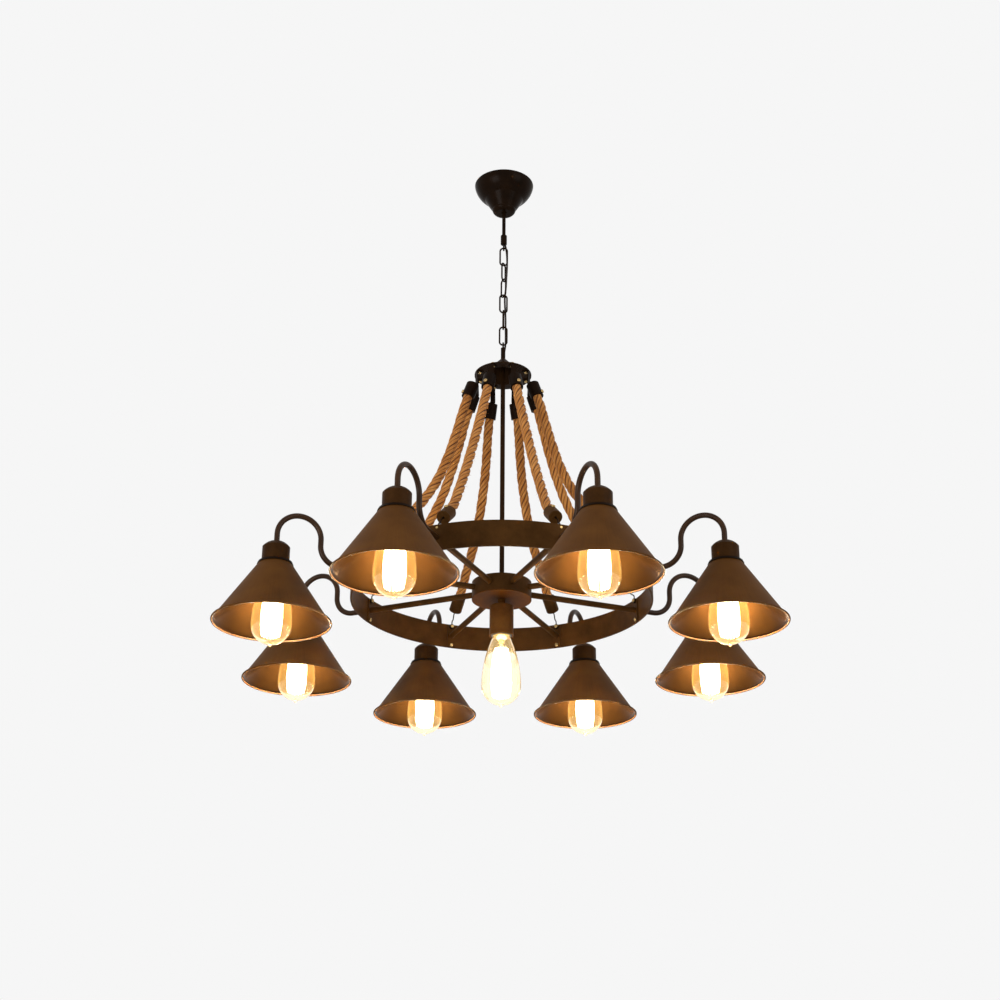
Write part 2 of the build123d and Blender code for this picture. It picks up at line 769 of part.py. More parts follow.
def cap_skirt():
    """The rim of the cap: flat on the shade's top, then bent down over the shade's edge."""
    inner = shade_top_radius + slip_fit
    spread = shade_cone_slope * cap_skirt_drop
    low = shade_top_z - cap_skirt_drop
    outline = [
        (cap_radius - cap_sheet, shade_top_z),
        (inner, shade_top_z),
        (inner + spread, low),
        (inner + spread + cap_skirt_sheet, low),
        (inner + cap_skirt_sheet, shade_top_z + cap_skirt_sheet),
        (cap_radius - cap_sheet, shade_top_z + cap_skirt_sheet),
    ]
    return turned(outline)


def socket_cap():
    """A domed cup that hides the lamp holder above the shade."""
    cup = cap_body(cap_radius, cap_top_z) - cap_body(cap_radius - cap_sheet, cap_top_z - cap_sheet)
    cup += cap_skirt()
    return cup - upright(cap_top_z - 2 * cap_sheet, cap_top_z, arm_spigot_radius + slip_fit)


def lamp_holder(top_z, spigot_radius):
    """The insulating body with a bore for the bulb's cap and a hole for the spigot above it."""
    body_bottom = top_z - holder_body_height
    bottom = body_bottom - holder_barrel_length
    floor = top_z - holder_floor
    holder = upright(body_bottom, top_z, holder_body_radius)
    holder += upright(bottom, body_bottom, holder_barrel_radius)
    holder -= upright(bottom, floor, holder_bore_radius)
    holder -= upright(top_z - spigot_in_holder, top_z, spigot_radius + slip_fit)
    return holder - upright(floor, top_z, lead_radius + slip_fit)


def shade_ring():
    """The ring that clamps the shade to its lamp holder from below."""
    top = shade_top_z - shade_sheet
    ring = upright(top - shade_ring_height, top, shade_ring_radius)
    return ring - upright(top - shade_ring_height, top, holder_barrel_radius + slip_fit)


def centre_nipple():
    """The threaded tube from the hub to the bare lamp, with its visible sleeve."""
    bottom = centre_holder_top_z - spigot_in_holder
    top = hub_bottom_z + nipple_in_hub
    nipple = upright(bottom, top, nipple_radius)
    nipple += upright(centre_cup_top_z, hub_bottom_z, centre_sleeve_radius)
    return nipple - upright(bottom, top, nipple_bore_radius)


def centre_socket_cup():
    cup = upright(centre_cup_bottom_z, centre_cup_top_z, centre_cup_radius)
    cup = fillet(cup.edges().sort_by(Axis.Z)[-1], centre_cup_round)
    inner_top = centre_cup_top_z - centre_cup_sheet
    cup -= upright(centre_cup_bottom_z, inner_top - centre_cup_round, centre_cup_radius - centre_cup_sheet)
    cup -= upright(centre_cup_bottom_z, inner_top, centre_cup_radius - centre_cup_sheet - centre_cup_round)
    return cup - upright(inner_top, centre_cup_top_z, nipple_radius + slip_fit)


def bulb_glass_body(inset):
    """The pear shape of the glass as a filled solid, its neck at z 0, drawn in by inset."""
    neck_drop = bulb_widest - bulb_neck_length
    flare = bulb_radius - bulb_neck_radius
    side_radius = (flare**2 + neck_drop**2) / (2 * flare)
    side_middle = bulb_radius - side_radius
    half_drop = neck_drop / 2
    inner_side = side_radius - inset
    neck = (side_middle + math.sqrt(inner_side**2 - neck_drop**2), -bulb_neck_length)
    waist = (side_middle + math.sqrt(inner_side**2 - half_drop**2), -bulb_widest + half_drop)
    widest = (bulb_radius - inset, -bulb_widest)
    end_radius = bulb_radius - inset
    tip_reach = bulb_tip_radius - inset / 2
    tip = (tip_reach, -bulb_widest - math.sqrt(end_radius**2 - tip_reach**2))
    end_middle = (end_radius * math.sqrt(0.5), -bulb_widest - end_radius * math.sqrt(0.5))
    end = (0, -bulb_length + 2 * inset)
    edges = [
        Line((0, 0), (neck[0], 0)),
        Line((neck[0], 0), neck),
        ThreePointArc(neck, waist, widest),
        ThreePointArc(widest, end_middle, tip),
        Line(tip, end),
        Line(end, (0, 0)),
    ]
    return turned_edges(edges)


def bulb():
    """Glass, screw cap and filament cage, with the glass's neck at z 0."""
    glass = bulb_glass_body(0) - bulb_glass_body(bulb_glass)
    inner_cap = bulb_cap_radius - bulb_cap_sheet
    top = bulb_cap_height
    insulator_top = top + bulb_insulator_height
    cap = turned(
        [
            (bulb_cap_radius, 0),
            (bulb_cap_radius, top),
            (bulb_contact_radius, insulator_top),
            (bulb_contact_radius, insulator_top + bulb_contact_height),
            (0, insulator_top + bulb_contact_height),
            (0, insulator_top - bulb_cap_sheet),
            (inner_cap, top - bulb_cap_sheet),
            (inner_cap, bulb_cap_sheet),
            (0, bulb_cap_sheet),
            (0, 0),
        ]
    )
    disc_radius = filament_circle_radius + 2 * filament_radius
    low = -filament_start - filament_length
    cage = turned(
        [
            (0, 0),
            (stem_foot_radius, 0),
            (2 * filament_radius, -filament_start / 2),
            (2 * filament_radius, -filament_start),
            (0, -filament_start),
        ]
    )
    cage += upright(low, -filament_start, filament_radius)
    for z in (low, -filament_start):
        cage += upright(z - filament_disc / 2, z + filament_disc / 2, disc_radius)
    for k in range(filament_count):
        strand = Pos(filament_circle_radius, 0, 0) * upright(low, -filament_start, filament_radius)
        cage += Rot(0, 0, k * 360 / filament_count) * strand
    return [glass, cap, cage]


def lamp_leads():
    """One wire along each spoke and arm, and one straight down to the bare lamp."""
    lead = swept(gooseneck_line(lead_start_reach, holder_top_z - holder_floor), lead_radius)
    centre_lead = upright(centre_holder_top_z - holder_floor, hub_bottom_z + nipple_in_hub, lead_radius)
    return round_the_lamp(lead) + [centre_lead]


os.makedirs("parts", exist_ok=True)

cord_line = power_cord_path()
power_cord = swept(cord_line, cord_radius)
cord_share = power_cord.volume / (math.pi * cord_radius**2 * cord_line.length)
print(f"power cord: volume over section times length {cord_share:.5f}")
cord_channel = swept(cord_line, cord_radius + cord_channel_gap)

save("ceiling_bracket", ceiling_bracket())
save("ceiling_cup", ceiling_cup())
save("canopy_stem", canopy_stem())
save("canopy_nuts", *canopy_nuts())
save("terminal_block", terminal_block())
save("power_cord", power_cord)
save("stem_eye", stem_eye(cord_channel))
for k, turn in enumerate(link_turns):
    save(f"chain_link_{k + 1}", chain_link(first_link_top_z - k * link_pitch, turn))

save("frame_eye", frame_eye(cord_channel))
save("centre_tube", centre_tube())
save("crown_plate", crown_plate())
save("centre_nuts", *centre_nuts())
save("hub_drum", hub_drum())
save("hub_cover", hub_cover())
save("spokes", *round_the_lamp(spoke()))
save("ring_band", ring_band())
save("ring_screws", *ring_screws())
save("rope_hangers", *round_the_lamp(rope_hanger()))
save("hanger_screws", *hanger_screws())
save("upper_ferrules", *round_the_lamp(on_upper_end() * ferrule()))
save("lower_ferrules", *round_the_lamp(on_lower_end() * ferrule()))
save("ferrule_screws", *ferrule_screws())
save("ropes", *ropes())
save("rope_hooks", *round_the_lamp(rope_hook()))
save("lamp_leads", *lamp_leads())

on_shade_axis = Pos(shade_circle_radius, 0, 0)
save("socket_caps", *round_the_lamp(on_shade_axis * socket_cap()))
save("shade_rings", *round_the_lamp(on_shade_axis * shade_ring()))
shade_holder = on_shade_axis * lamp_holder(holder_top_z, arm_spigot_radius)
save("lampholders", *round_the_lamp(shade_holder), lamp_holder(centre_holder_top_z, nipple_radius))
save("centre_nipple", centre_nipple())
save("centre_socket_cup", centre_socket_cup())

one_arm = arm()
one_shade = on_shade_axis * shade()
bulb_pieces = bulb()
shade_bulb_z = holder_top_z - holder_length - bulb_seat_gap
for k, angle in enumerate(arm_angles):
    save(f"arm_{k + 1}", at_arm(one_arm, angle))
    save(f"shade_{k + 1}", at_arm(one_shade, angle))
    save(f"bulb_{k + 1}", *[at_arm(on_shade_axis * Pos(0, 0, shade_bulb_z) * piece, angle) for piece in bulb_pieces])
centre_bulb_z = centre_holder_top_z - holder_length - bulb_seat_gap
save(f"bulb_{arm_count + 1}", *[Pos(0, 0, centre_bulb_z) * piece for piece in bulb_pieces])

print(f"ring middle plane {ring_z:.2f} mm, shade rim {shade_top_z - shade_height:.2f} mm")
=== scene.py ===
import json
import math

import bmesh
import bpy
import numpy as np
from mathutils import Matrix, Vector

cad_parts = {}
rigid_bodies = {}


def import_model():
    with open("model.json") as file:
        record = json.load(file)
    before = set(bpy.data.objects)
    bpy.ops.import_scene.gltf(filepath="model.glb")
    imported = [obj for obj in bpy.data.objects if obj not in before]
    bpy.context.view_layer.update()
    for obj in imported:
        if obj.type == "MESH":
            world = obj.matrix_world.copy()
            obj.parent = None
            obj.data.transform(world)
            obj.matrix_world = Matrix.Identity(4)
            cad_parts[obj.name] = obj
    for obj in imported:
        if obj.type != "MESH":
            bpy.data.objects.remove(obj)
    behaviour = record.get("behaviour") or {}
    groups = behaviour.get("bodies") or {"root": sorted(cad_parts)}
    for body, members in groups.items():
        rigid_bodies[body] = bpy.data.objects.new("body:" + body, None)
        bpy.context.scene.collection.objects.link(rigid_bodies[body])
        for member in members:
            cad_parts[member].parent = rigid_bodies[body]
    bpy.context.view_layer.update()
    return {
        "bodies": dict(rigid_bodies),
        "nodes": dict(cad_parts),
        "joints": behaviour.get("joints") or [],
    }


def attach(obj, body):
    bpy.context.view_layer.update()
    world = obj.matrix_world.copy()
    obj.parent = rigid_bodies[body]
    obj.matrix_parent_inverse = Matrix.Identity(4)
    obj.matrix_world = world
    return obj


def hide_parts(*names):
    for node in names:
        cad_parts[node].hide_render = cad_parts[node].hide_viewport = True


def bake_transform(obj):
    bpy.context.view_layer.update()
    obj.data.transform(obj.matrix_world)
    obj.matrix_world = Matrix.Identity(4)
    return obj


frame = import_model()


# Ceiling bracket and nuts: a strap of mild steel bent like a hat, and hexagon nuts, zinc plated in a barrel.
# The strap is screwed to the ceiling and hidden by the cup, so only views from above show it.
def linear(hex_code):
    """sRGB hex to linear light: a channel is ((c + 0.055) / 1.055) to the power 2.4, or c / 12.92 if dark."""
    srgb = np.array([int(hex_code[i : i + 2], 16) for i in (1, 3, 5)]) / 255
    light = np.where(srgb <= 0.04045, srgb / 12.92, ((srgb + 0.055) / 1.055) ** 2.4)
    return (*light.tolist(), 1.0)


def node(tree, kind, inputs=None, stops=None, **settings):
    """Adds one node, sets its properties and colour stops, and gives each input a value or a link."""
    new = tree.nodes.new(kind)
    for name, value in settings.items():
        setattr(new, name, value)
    for name, value in (inputs or {}).items():
        if isinstance(value, bpy.types.NodeSocket):
            tree.links.new(value, new.inputs[name])
        else:
            new.inputs[name].default_value = value
    if stops:
        elements = new.color_ramp.elements
        for extra in range(len(stops) - len(elements)):
            elements.new(0.5)
        for element, (place, colour) in zip(elements, stops):
            element.position = place
            element.color = linear(colour)
    return new


def blank_material(name):
    """A material with an empty node tree and its output node."""
    material = bpy.data.materials.new(name)
    material.use_nodes = True
    material.node_tree.nodes.clear()
    output = material.node_tree.nodes.new("ShaderNodeOutputMaterial")
    return material, material.node_tree, output


def dress(names, material):
    """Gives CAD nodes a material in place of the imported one."""
    for name in names:
        mesh = frame["nodes"][name].data
        mesh.materials.clear()
        mesh.materials.append(material)


def zinc_plated_steel():
    """Bright zinc: grey metal with cloudy spangles a few millimetres wide."""
    material, tree, output = blank_material("zinc_plated_steel")
    place = node(tree, "ShaderNodeTexCoord")
    spangle_width = 0.004
    clouds = node(
        tree,
        "ShaderNodeTexNoise",
        {"Vector": place.outputs["Object"], "Scale": 1 / spangle_width, "Detail": 4.0},
    )
    colour = node(
        tree, "ShaderNodeValToRGB", {"Fac": clouds.outputs["Fac"]}, stops=[(0.3, "#8E8F8C"), (0.7, "#BFC0BC")]
    )
    shine = node(
        tree,
        "ShaderNodeMapRange",
        {"Value": clouds.outputs["Fac"], "To Min": 0.28, "To Max": 0.48},
    )
    metal = node(
        tree,
        "ShaderNodeBsdfPrincipled",
        {"Base Color": colour.outputs["Color"], "Roughness": shine.outputs["Result"], "Metallic": 1.0},
    )
    tree.links.new(metal.outputs["BSDF"], output.inputs["Surface"])
    return material


dress(["ceiling_bracket", "canopy_nuts", "centre_nuts"], zinc_plated_steel())


# Terminal block: white moulded nylon between the bracket's legs, where the house wires meet the cord.
# Its skin is slightly uneven from the mould.
def moulded_nylon():
    """White nylon: an even pale body, semi-gloss, with a faint orange-peel skin."""
    material, tree, output = blank_material("moulded_nylon")
    place = node(tree, "ShaderNodeTexCoord")
    peel_width = 0.0015
    peel = node(
        tree,
        "ShaderNodeTexNoise",
        {"Vector": place.outputs["Object"], "Scale": 1 / peel_width, "Detail": 2.0},
    )
    colour = node(
        tree, "ShaderNodeValToRGB", {"Fac": peel.outputs["Fac"]}, stops=[(0.35, "#DEDCD4"), (0.65, "#EBEAE4")]
    )
    skin = node(tree, "ShaderNodeBump", {"Height": peel.outputs["Fac"], "Strength": 0.08, "Distance": 0.0004})
    nylon = node(
        tree,
        "ShaderNodeBsdfPrincipled",
        {
            "Base Color": colour.outputs["Color"],
            "Normal": skin.outputs["Normal"],
            "Roughness": 0.38,
            "IOR": 1.53,
        },
    )
    tree.links.new(nylon.outputs["BSDF"], output.inputs["Surface"])
    return material


dress(["terminal_block"], moulded_nylon())


# Ceiling cup, stem and knuckle: spun and turned steel with a dark brown baked lacquer.
# The flange on the stem lifts the cup against the ceiling.
def baked_lacquer(name, dark, light, roughness, reflectance=0.03, painted_shadow_height=None):
    """Brown baked lacquer with bronze flake: soft cloudy tone, fine flake speckle and a slightly wavy skin.
    Given a height, the colour below it is darkened as a painted shadow."""
    material, tree, output = blank_material(name)
    place = node(tree, "ShaderNodeTexCoord")
    cloud_width = 0.035
    flake_width = 0.0009  # real flake is about 0.1 mm, drawn coarser so that it shows
    flake_share = 0.35
    clouds = node(
        tree,
        "ShaderNodeTexNoise",
        {"Vector": place.outputs["Object"], "Scale": 1 / cloud_width, "Detail": 5.0, "Roughness": 0.6},
    )
    flakes = node(
        tree,
        "ShaderNodeTexNoise",
        {"Vector": place.outputs["Object"], "Scale": 1 / flake_width, "Detail": 1.0},
    )
    tone = node(
        tree,
        "ShaderNodeMath",
        {0: flakes.outputs["Fac"], 1: flake_share, 2: clouds.outputs["Fac"]},
        operation="MULTIPLY_ADD",
    )
    colour = node(
        tree, "ShaderNodeValToRGB", {"Fac": tone.outputs["Value"]}, stops=[(0.45, dark), (0.9, light)]
    )
    coat = colour.outputs["Color"]
    # Painted shadow: below the given height the colour is multiplied down to a quarter.
    if painted_shadow_height is not None:
        shadow_fade = 0.0008
        shadow_tone = 0.25
        height = node(tree, "ShaderNodeSeparateXYZ", {"Vector": place.outputs["Object"]})
        shadow_ramp = node(
            tree,
            "ShaderNodeMapRange",
            {
                "Value": height.outputs["Z"],
                "From Min": painted_shadow_height,
                "From Max": painted_shadow_height + shadow_fade,
                "To Min": shadow_tone,
            },
        )
        depth = node(
            tree,
            "ShaderNodeMix",
            {"Factor": 1.0, "A": coat, "B": shadow_ramp.outputs["Result"]},
            data_type="RGBA",
            blend_type="MULTIPLY",
        )
        coat = depth.outputs["Result"]
    gloss = node(
        tree,
        "ShaderNodeMapRange",
        {"Value": clouds.outputs["Fac"], "To Min": roughness - 0.06, "To Max": roughness + 0.08},
    )
    skin = node(
        tree, "ShaderNodeBump", {"Height": flakes.outputs["Fac"], "Strength": 0.06, "Distance": 0.0003}
    )
    lacquer = node(
        tree,
        "ShaderNodeBsdfPrincipled",
        {
            "Base Color": coat,
            "Roughness": gloss.outputs["Result"],
            "Normal": skin.outputs["Normal"],
            "Metallic": 0.05,
            "Specular IOR Level": reflectance,
        },
    )
    tree.links.new(lacquer.outputs["BSDF"], output.inputs["Surface"])
    return material


gloss_lacquer = baked_lacquer("gloss_brown_lacquer", "#120A05", "#23150A", roughness=0.24)
dress(["ceiling_cup", "canopy_stem", "stem_eye"], gloss_lacquer)


# Chain: oblong links of drawn steel wire, each welded shut and dipped in a brown lacquer.
# They hang in one another, most of them turned a little, so their flats don't line up.
wire_lacquer = baked_lacquer("wire_brown_lacquer", "#140B05", "#281709", roughness=0.36)
chain_links = [f"chain_link_{k}" for k in range(1, 7)]
dress([*chain_links, "frame_eye"], wire_lacquer)


# Power cord: two cores in a thin round sheath of brown PVC. It leaves the knuckle, lies loosely beside the
# links and goes into the boss of the frame's eye. It is drawn in one piece per hinge, cut halfway between the
# hinges.
def spline_points(name, route, spacing):
    """The points of a smooth NURBS line whose control points are the route, about spacing apart."""
    curve = bpy.data.curves.new(name + "_route", "CURVE")
    curve.dimensions = "3D"
    spline = curve.splines.new("NURBS")
    spline.points.add(len(route) - 1)
    for point, place in zip(spline.points, route):
        point.co = (*place, 1.0)
    spline.order_u = 3
    spline.use_endpoint_u = True
    length = np.linalg.norm(np.diff(np.array(route), axis=0), axis=1).sum()
    spline.resolution_u = max(4, math.ceil(length / spacing / len(route)))
    carrier = bpy.data.objects.new(name + "_route", curve)
    line = bpy.data.meshes.new_from_object(carrier)
    points = np.empty(len(line.vertices) * 3)
    line.vertices.foreach_get("co", points)
    bpy.data.objects.remove(carrier)
    bpy.data.curves.remove(curve)
    bpy.data.meshes.remove(line)
    return points.reshape(-1, 3)


def round_path(path, side, angles, radii):
    """Rings about a path: each point is the path's point plus its radius along the direction at its angle,
    in the plane across the path that side (made square to the path) and their cross product span."""
    tangent = np.gradient(path, axis=0)
    tangent /= np.linalg.norm(tangent, axis=1, keepdims=True)
    across = np.asarray(side) - (tangent @ np.asarray(side))[:, None] * tangent
    across /= np.linalg.norm(across, axis=1, keepdims=True)
    third = np.cross(tangent, across)
    turn = np.cos(angles)[..., None] * across[:, None, :] + np.sin(angles)[..., None] * third[:, None, :]
    return path[:, None, :] + radii[..., None] * turn


def surface(name, grid, material, closed_rows=False, capped=False, map_size=(1.0, 1.0), sharp=40.0):
    """A mesh over a grid of points, its columns joined round, and its rows too if closed_rows. The UV map
    runs 0 to map_size along columns and rows, and capped closes the first and last rows with a flat face."""
    rows, columns = grid.shape[:2]
    row = np.arange(rows if closed_rows else rows - 1)[:, None]
    column = np.arange(columns)[None, :]
    steps = ((0, 0), (0, 1), (1, 1), (1, 0))
    corner = [((row + i) % rows) * columns + (column + j) % columns for i, j in steps]
    faces = np.stack(corner, axis=-1).reshape(-1, 4).tolist()
    spread = [np.broadcast_arrays((column + j) / columns, (row + i) / max(rows - 1, 1)) for i, j in steps]
    uv = np.stack([np.stack(pair, axis=-1) for pair in spread], axis=2).reshape(-1, 2) * np.array(map_size)
    if capped:
        faces.append(list(range(columns - 1, -1, -1)))
        faces.append(list(range((rows - 1) * columns, rows * columns)))
        uv = np.concatenate([uv, np.zeros((2 * columns, 2))])
    mesh = bpy.data.meshes.new(name)
    mesh.from_pydata(grid.reshape(-1, 3), [], faces)
    layer = mesh.uv_layers.new(name="UVMap")
    layer.data.foreach_set("uv", uv.astype(np.float32).ravel())
    welded = bmesh.new()
    welded.from_mesh(mesh)
    bmesh.ops.remove_doubles(welded, verts=welded.verts, dist=1e-7)
    welded.to_mesh(mesh)
    welded.free()
    mesh.shade_smooth()
    mesh.set_sharp_from_angle(angle=math.radians(sharp))
    mesh.materials.append(material)
    piece = bpy.data.objects.new(name, mesh)
    bpy.context.scene.collection.objects.link(piece)
    return piece


def pvc_sheath():
    """Extruded PVC: smooth, brown-black, semi-matt, with a faint mottle of about a millimetre."""
    material, tree, output = blank_material("pvc_sheath")
    place = node(tree, "ShaderNodeTexCoord")
    marks_per_metre = 900.0
    marks = node(
        tree,
        "ShaderNodeTexNoise",
        {"Vector": place.outputs["Object"], "Scale": marks_per_metre, "Detail": 2.0},
    )
    colour = node(
        tree, "ShaderNodeValToRGB", {"Fac": marks.outputs["Fac"]}, stops=[(0.3, "#1A110B"), (0.7, "#2A1C12")]
    )
    pvc = node(
        tree,
        "ShaderNodeBsdfPrincipled",
        {"Base Color": colour.outputs["Color"], "Roughness": 0.5, "IOR": 1.53, "Specular IOR Level": 0.3},
    )
    tree.links.new(pvc.outputs["BSDF"], output.inputs["Surface"])
    return material


cord_radius = 0.0017
cord_spacing = 0.002
cord_sides = 14
cord_side_way = (1.0, 0.0, 0.0)
cord_route = [
    (0.0, 0.0, -0.0140),
    (0.0, 0.0, -0.0980),
    (0.0, 0.0, -0.1160),
    (0.0044, 0.0039, -0.1340),
    (0.0061, 0.0044, -0.1520),
    (0.0063, 0.0039, -0.1700),
    (0.0057, 0.0023, -0.1870),
    (0.0049, 0.0007, -0.2030),
    (0.0043, 0.0029, -0.2190),
    (0.0022, 0.0045, -0.2360),
    (0.0024, 0.0049, -0.2520),
    (0.0036, 0.0047, -0.2690),
    (0.0041, 0.0044, -0.2860),
    (0.0039, 0.0042, -0.3020),
    (0.0043, 0.0043, -0.3190),
    (0.0041, 0.0041, -0.3380),
    (0.0, 0.0, -0.3620),
    (0.0, 0.0, -0.3850),
    (0.0, 0.0, -0.7982),
]
cord_path = spline_points("power_cord", cord_route, cord_spacing)
cord_angles = np.linspace(0, 2 * np.pi, cord_sides, endpoint=False)[None, :]
pivots = [joint["pos_m"][2] for joint in frame["joints"] if joint["type"] == "hinge"]
ceiling_height = 0.0
below_cord = -1.0
cuts = [ceiling_height, *[(a + b) / 2 for a, b in zip(pivots, pivots[1:])], below_cord]
sheath = pvc_sheath()
for k, pivot in enumerate(pivots):
    inside = np.flatnonzero((cord_path[:, 2] <= cuts[k]) & (cord_path[:, 2] >= cuts[k + 1]))
    run = cord_path[inside[0] : inside[-1] + 2]
    piece = surface(
        f"power_cord_{k + 1}",
        round_path(run, cord_side_way, cord_angles, np.full((len(run), 1), cord_radius)),
        sheath,
        capped=True,
    )
    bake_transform(piece)
    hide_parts("power_cord")


# Centre tube and crown: a steel tube carries the hub, and a pressed steel hat on it carries the ropes.
# The hat is nutted to the tube, and both have a satin brown lacquer.
satin_lacquer = baked_lacquer("satin_brown_lacquer", "#1E1107", "#35210F", roughness=0.42)
dress(["centre_tube", "crown_plate"], satin_lacquer)


# Hub, spokes and ring: a rolled flat band is screwed to eight tubes that meet in a shallow drum.
# The drum's cover has a lighter, warmer coat than the rest.
ring_lacquer = baked_lacquer("ring_brown_lacquer", "#3F270E", "#58391A", roughness=0.45)
dress(["ring_band", "spokes", "hub_drum"], ring_lacquer)
cover_lacquer = baked_lacquer("cover_brown_lacquer", "#492809", "#653C16", roughness=0.5)
dress(["hub_cover"], cover_lacquer)


# Screws and hooks: plated pan-head screws in the ring, the hangers and the ferrules, and bent wire hooks.
# The screws are the only bright metal that shows. The hooks were dipped in the chain's dark lacquer.
def plated_screw_steel():
    """Brass plate over turned steel: bright, yellow-grey, with a fine mottle from turning."""
    material, tree, output = blank_material("plated_screw_steel")
    place = node(tree, "ShaderNodeTexCoord")
    mark_width = 0.0006
    marks = node(
        tree,
        "ShaderNodeTexNoise",
        {"Vector": place.outputs["Object"], "Scale": 1 / mark_width, "Detail": 2.0},
    )
    colour = node(
        tree, "ShaderNodeValToRGB", {"Fac": marks.outputs["Fac"]}, stops=[(0.3, "#8F7448"), (0.7, "#C4A670")]
    )
    shine = node(
        tree, "ShaderNodeMapRange", {"Value": marks.outputs["Fac"], "To Min": 0.16, "To Max": 0.32}
    )
    metal = node(
        tree,
        "ShaderNodeBsdfPrincipled",
        {"Base Color": colour.outputs["Color"], "Roughness": shine.outputs["Result"], "Metallic": 1.0},
    )
    tree.links.new(metal.outputs["BSDF"], output.inputs["Surface"])
    return material


dress(["ring_screws", "hanger_screws", "ferrule_screws"], plated_screw_steel())
dress(["rope_hooks"], wire_lacquer)


# Hangers and ferrules: bent steel straps under the crown, and turned steel cups that grip the ropes' ends.
# Those at the top have a nearly black lacquer, and the ferrules at the bottom have the ring's.
fitting_lacquer = baked_lacquer("fitting_black_lacquer", "#120A05", "#25160B", roughness=0.4)
dress(["rope_hangers", "upper_ferrules"], fitting_lacquer)
dress(["lower_ferrules"], ring_lacquer)


# Ropes: three strands of hemp laid to the right, each strand of two yarns, with loose fibres.
# They swell where they leave the ferrules. Those in front are nearly straight, those behind are slack.
ring_height = -0.8022
rope_radius = 0.0084
rope_grip_radius = 0.0078
strand_count = 3
lay_length = 0.064
groove_depth = 0.0019
groove_sharpness = 2.4
yarn_count = 2
yarn_depth = 0.0007
yarn_sharpness = 3
yarn_shade = 0.8
rope_columns = 96
rope_spacing = 0.0016
rope_grip_length = 0.026
rope_swell_length = 0.020
gripped_groove_share = 0.25
wobble_height = 0.0002
wobble_rate = 140
rope_map_scale = 10
fibre_count = 160
fibre_rings = 4
fibre_sides = 3
fibre_radius = 0.00016
fibre_taper = 0.8
fibre_root_depth = 0.0012
fibre_lean = 0.8
fibre_shortest = 0.003
fibre_longest = 0.0065
fibre_droop = 0.0012
rope_start = [(0.05666, 0.37311), (0.06995, 0.33539)]
rope_end = [(0.19583, 0.06850), (0.22647, 0.04279)]
rope_middles = {
    "taut": [(0.0905, 0.2860), (0.1110, 0.2380), (0.1320, 0.1920), (0.1520, 0.1500), (0.1740, 0.1090)],
    "middle": [
        (0.0795, 0.2960),
        (0.0910, 0.2540),
        (0.1030, 0.2160),
        (0.1170, 0.1810),
        (0.1360, 0.1470),
        (0.1610, 0.1140),
    ],
    "slack": [
        (0.0750, 0.2920),
        (0.0830, 0.2480),
        (0.0960, 0.2060),
        (0.1140, 0.1660),
        (0.1380, 0.1300),
        (0.1680, 0.1010),
    ],
}
rope_kinds = ["middle", "slack", "slack", "middle", "middle", "taut", "taut", "middle"]
arm_angles = np.radians(22.5 + 45 * np.arange(8))


def hemp_rope():
    """Tarred hemp: straw-brown fibres that run along each strand, quite matt, with painted shade in the
    grooves.
    """
    material, tree, output = blank_material("hemp_rope")
    place = node(tree, "ShaderNodeTexCoord")
    groove_shade = node(tree, "ShaderNodeAttribute", attribute_name="groove_shade")
    fibres_round = 60.0
    fibres_along = 6.0  # the map has ten units a metre, so a fibre is about 17 mm long
    blotches_per_metre = 45.0
    stretched = node(
        tree, "ShaderNodeMapping", {"Vector": place.outputs["UV"], "Scale": (fibres_round, fibres_along, 1.0)}
    )
    fibres = node(
        tree, "ShaderNodeTexNoise", {"Vector": stretched.outputs["Vector"], "Scale": 1.0, "Detail": 6.0}
    )
    blotches = node(
        tree,
        "ShaderNodeTexNoise",
        {"Vector": place.outputs["Object"], "Scale": blotches_per_metre, "Detail": 3.0},
    )
    tone = node(
        tree,
        "ShaderNodeMath",
        {0: blotches.outputs["Fac"], 1: 0.5, 2: fibres.outputs["Fac"]},
        operation="MULTIPLY_ADD",
    )
    fibre_colour = node(
        tree,
        "ShaderNodeValToRGB",
        {"Fac": tone.outputs["Value"]},
        stops=[(0.5, "#9C5E22"), (0.72, "#C67F3A"), (1.0, "#E6A65C")],
    )
    # Painted shade: the colour darkens in the rope's grooves and between its yarns, where the mesh attribute
    # marks them.
    shadow = node(
        tree, "ShaderNodeValToRGB", {"Fac": groove_shade.outputs["Fac"]}, stops=[(0.4, "#FFFFFF"), (1.0, "#4A2408")]
    )
    colour = node(
        tree,
        "ShaderNodeMix",
        {"Factor": 1.0, "A": fibre_colour.outputs["Color"], "B": shadow.outputs["Color"]},
        data_type="RGBA",
        blend_type="MULTIPLY",
    )
    nap = node(tree, "ShaderNodeBump", {"Height": fibres.outputs["Fac"], "Strength": 0.6, "Distance": 0.0008})
    hemp = node(
        tree,
        "ShaderNodeBsdfPrincipled",
        {
            "Base Color": colour.outputs["Result"],
            "Normal": nap.outputs["Normal"],
            "Roughness": 0.85,
            "Sheen Weight": 0.15,
            "Specular IOR Level": 0.2,
        },
    )
    tree.links.new(hemp.outputs["BSDF"], output.inputs["Surface"])
    return material


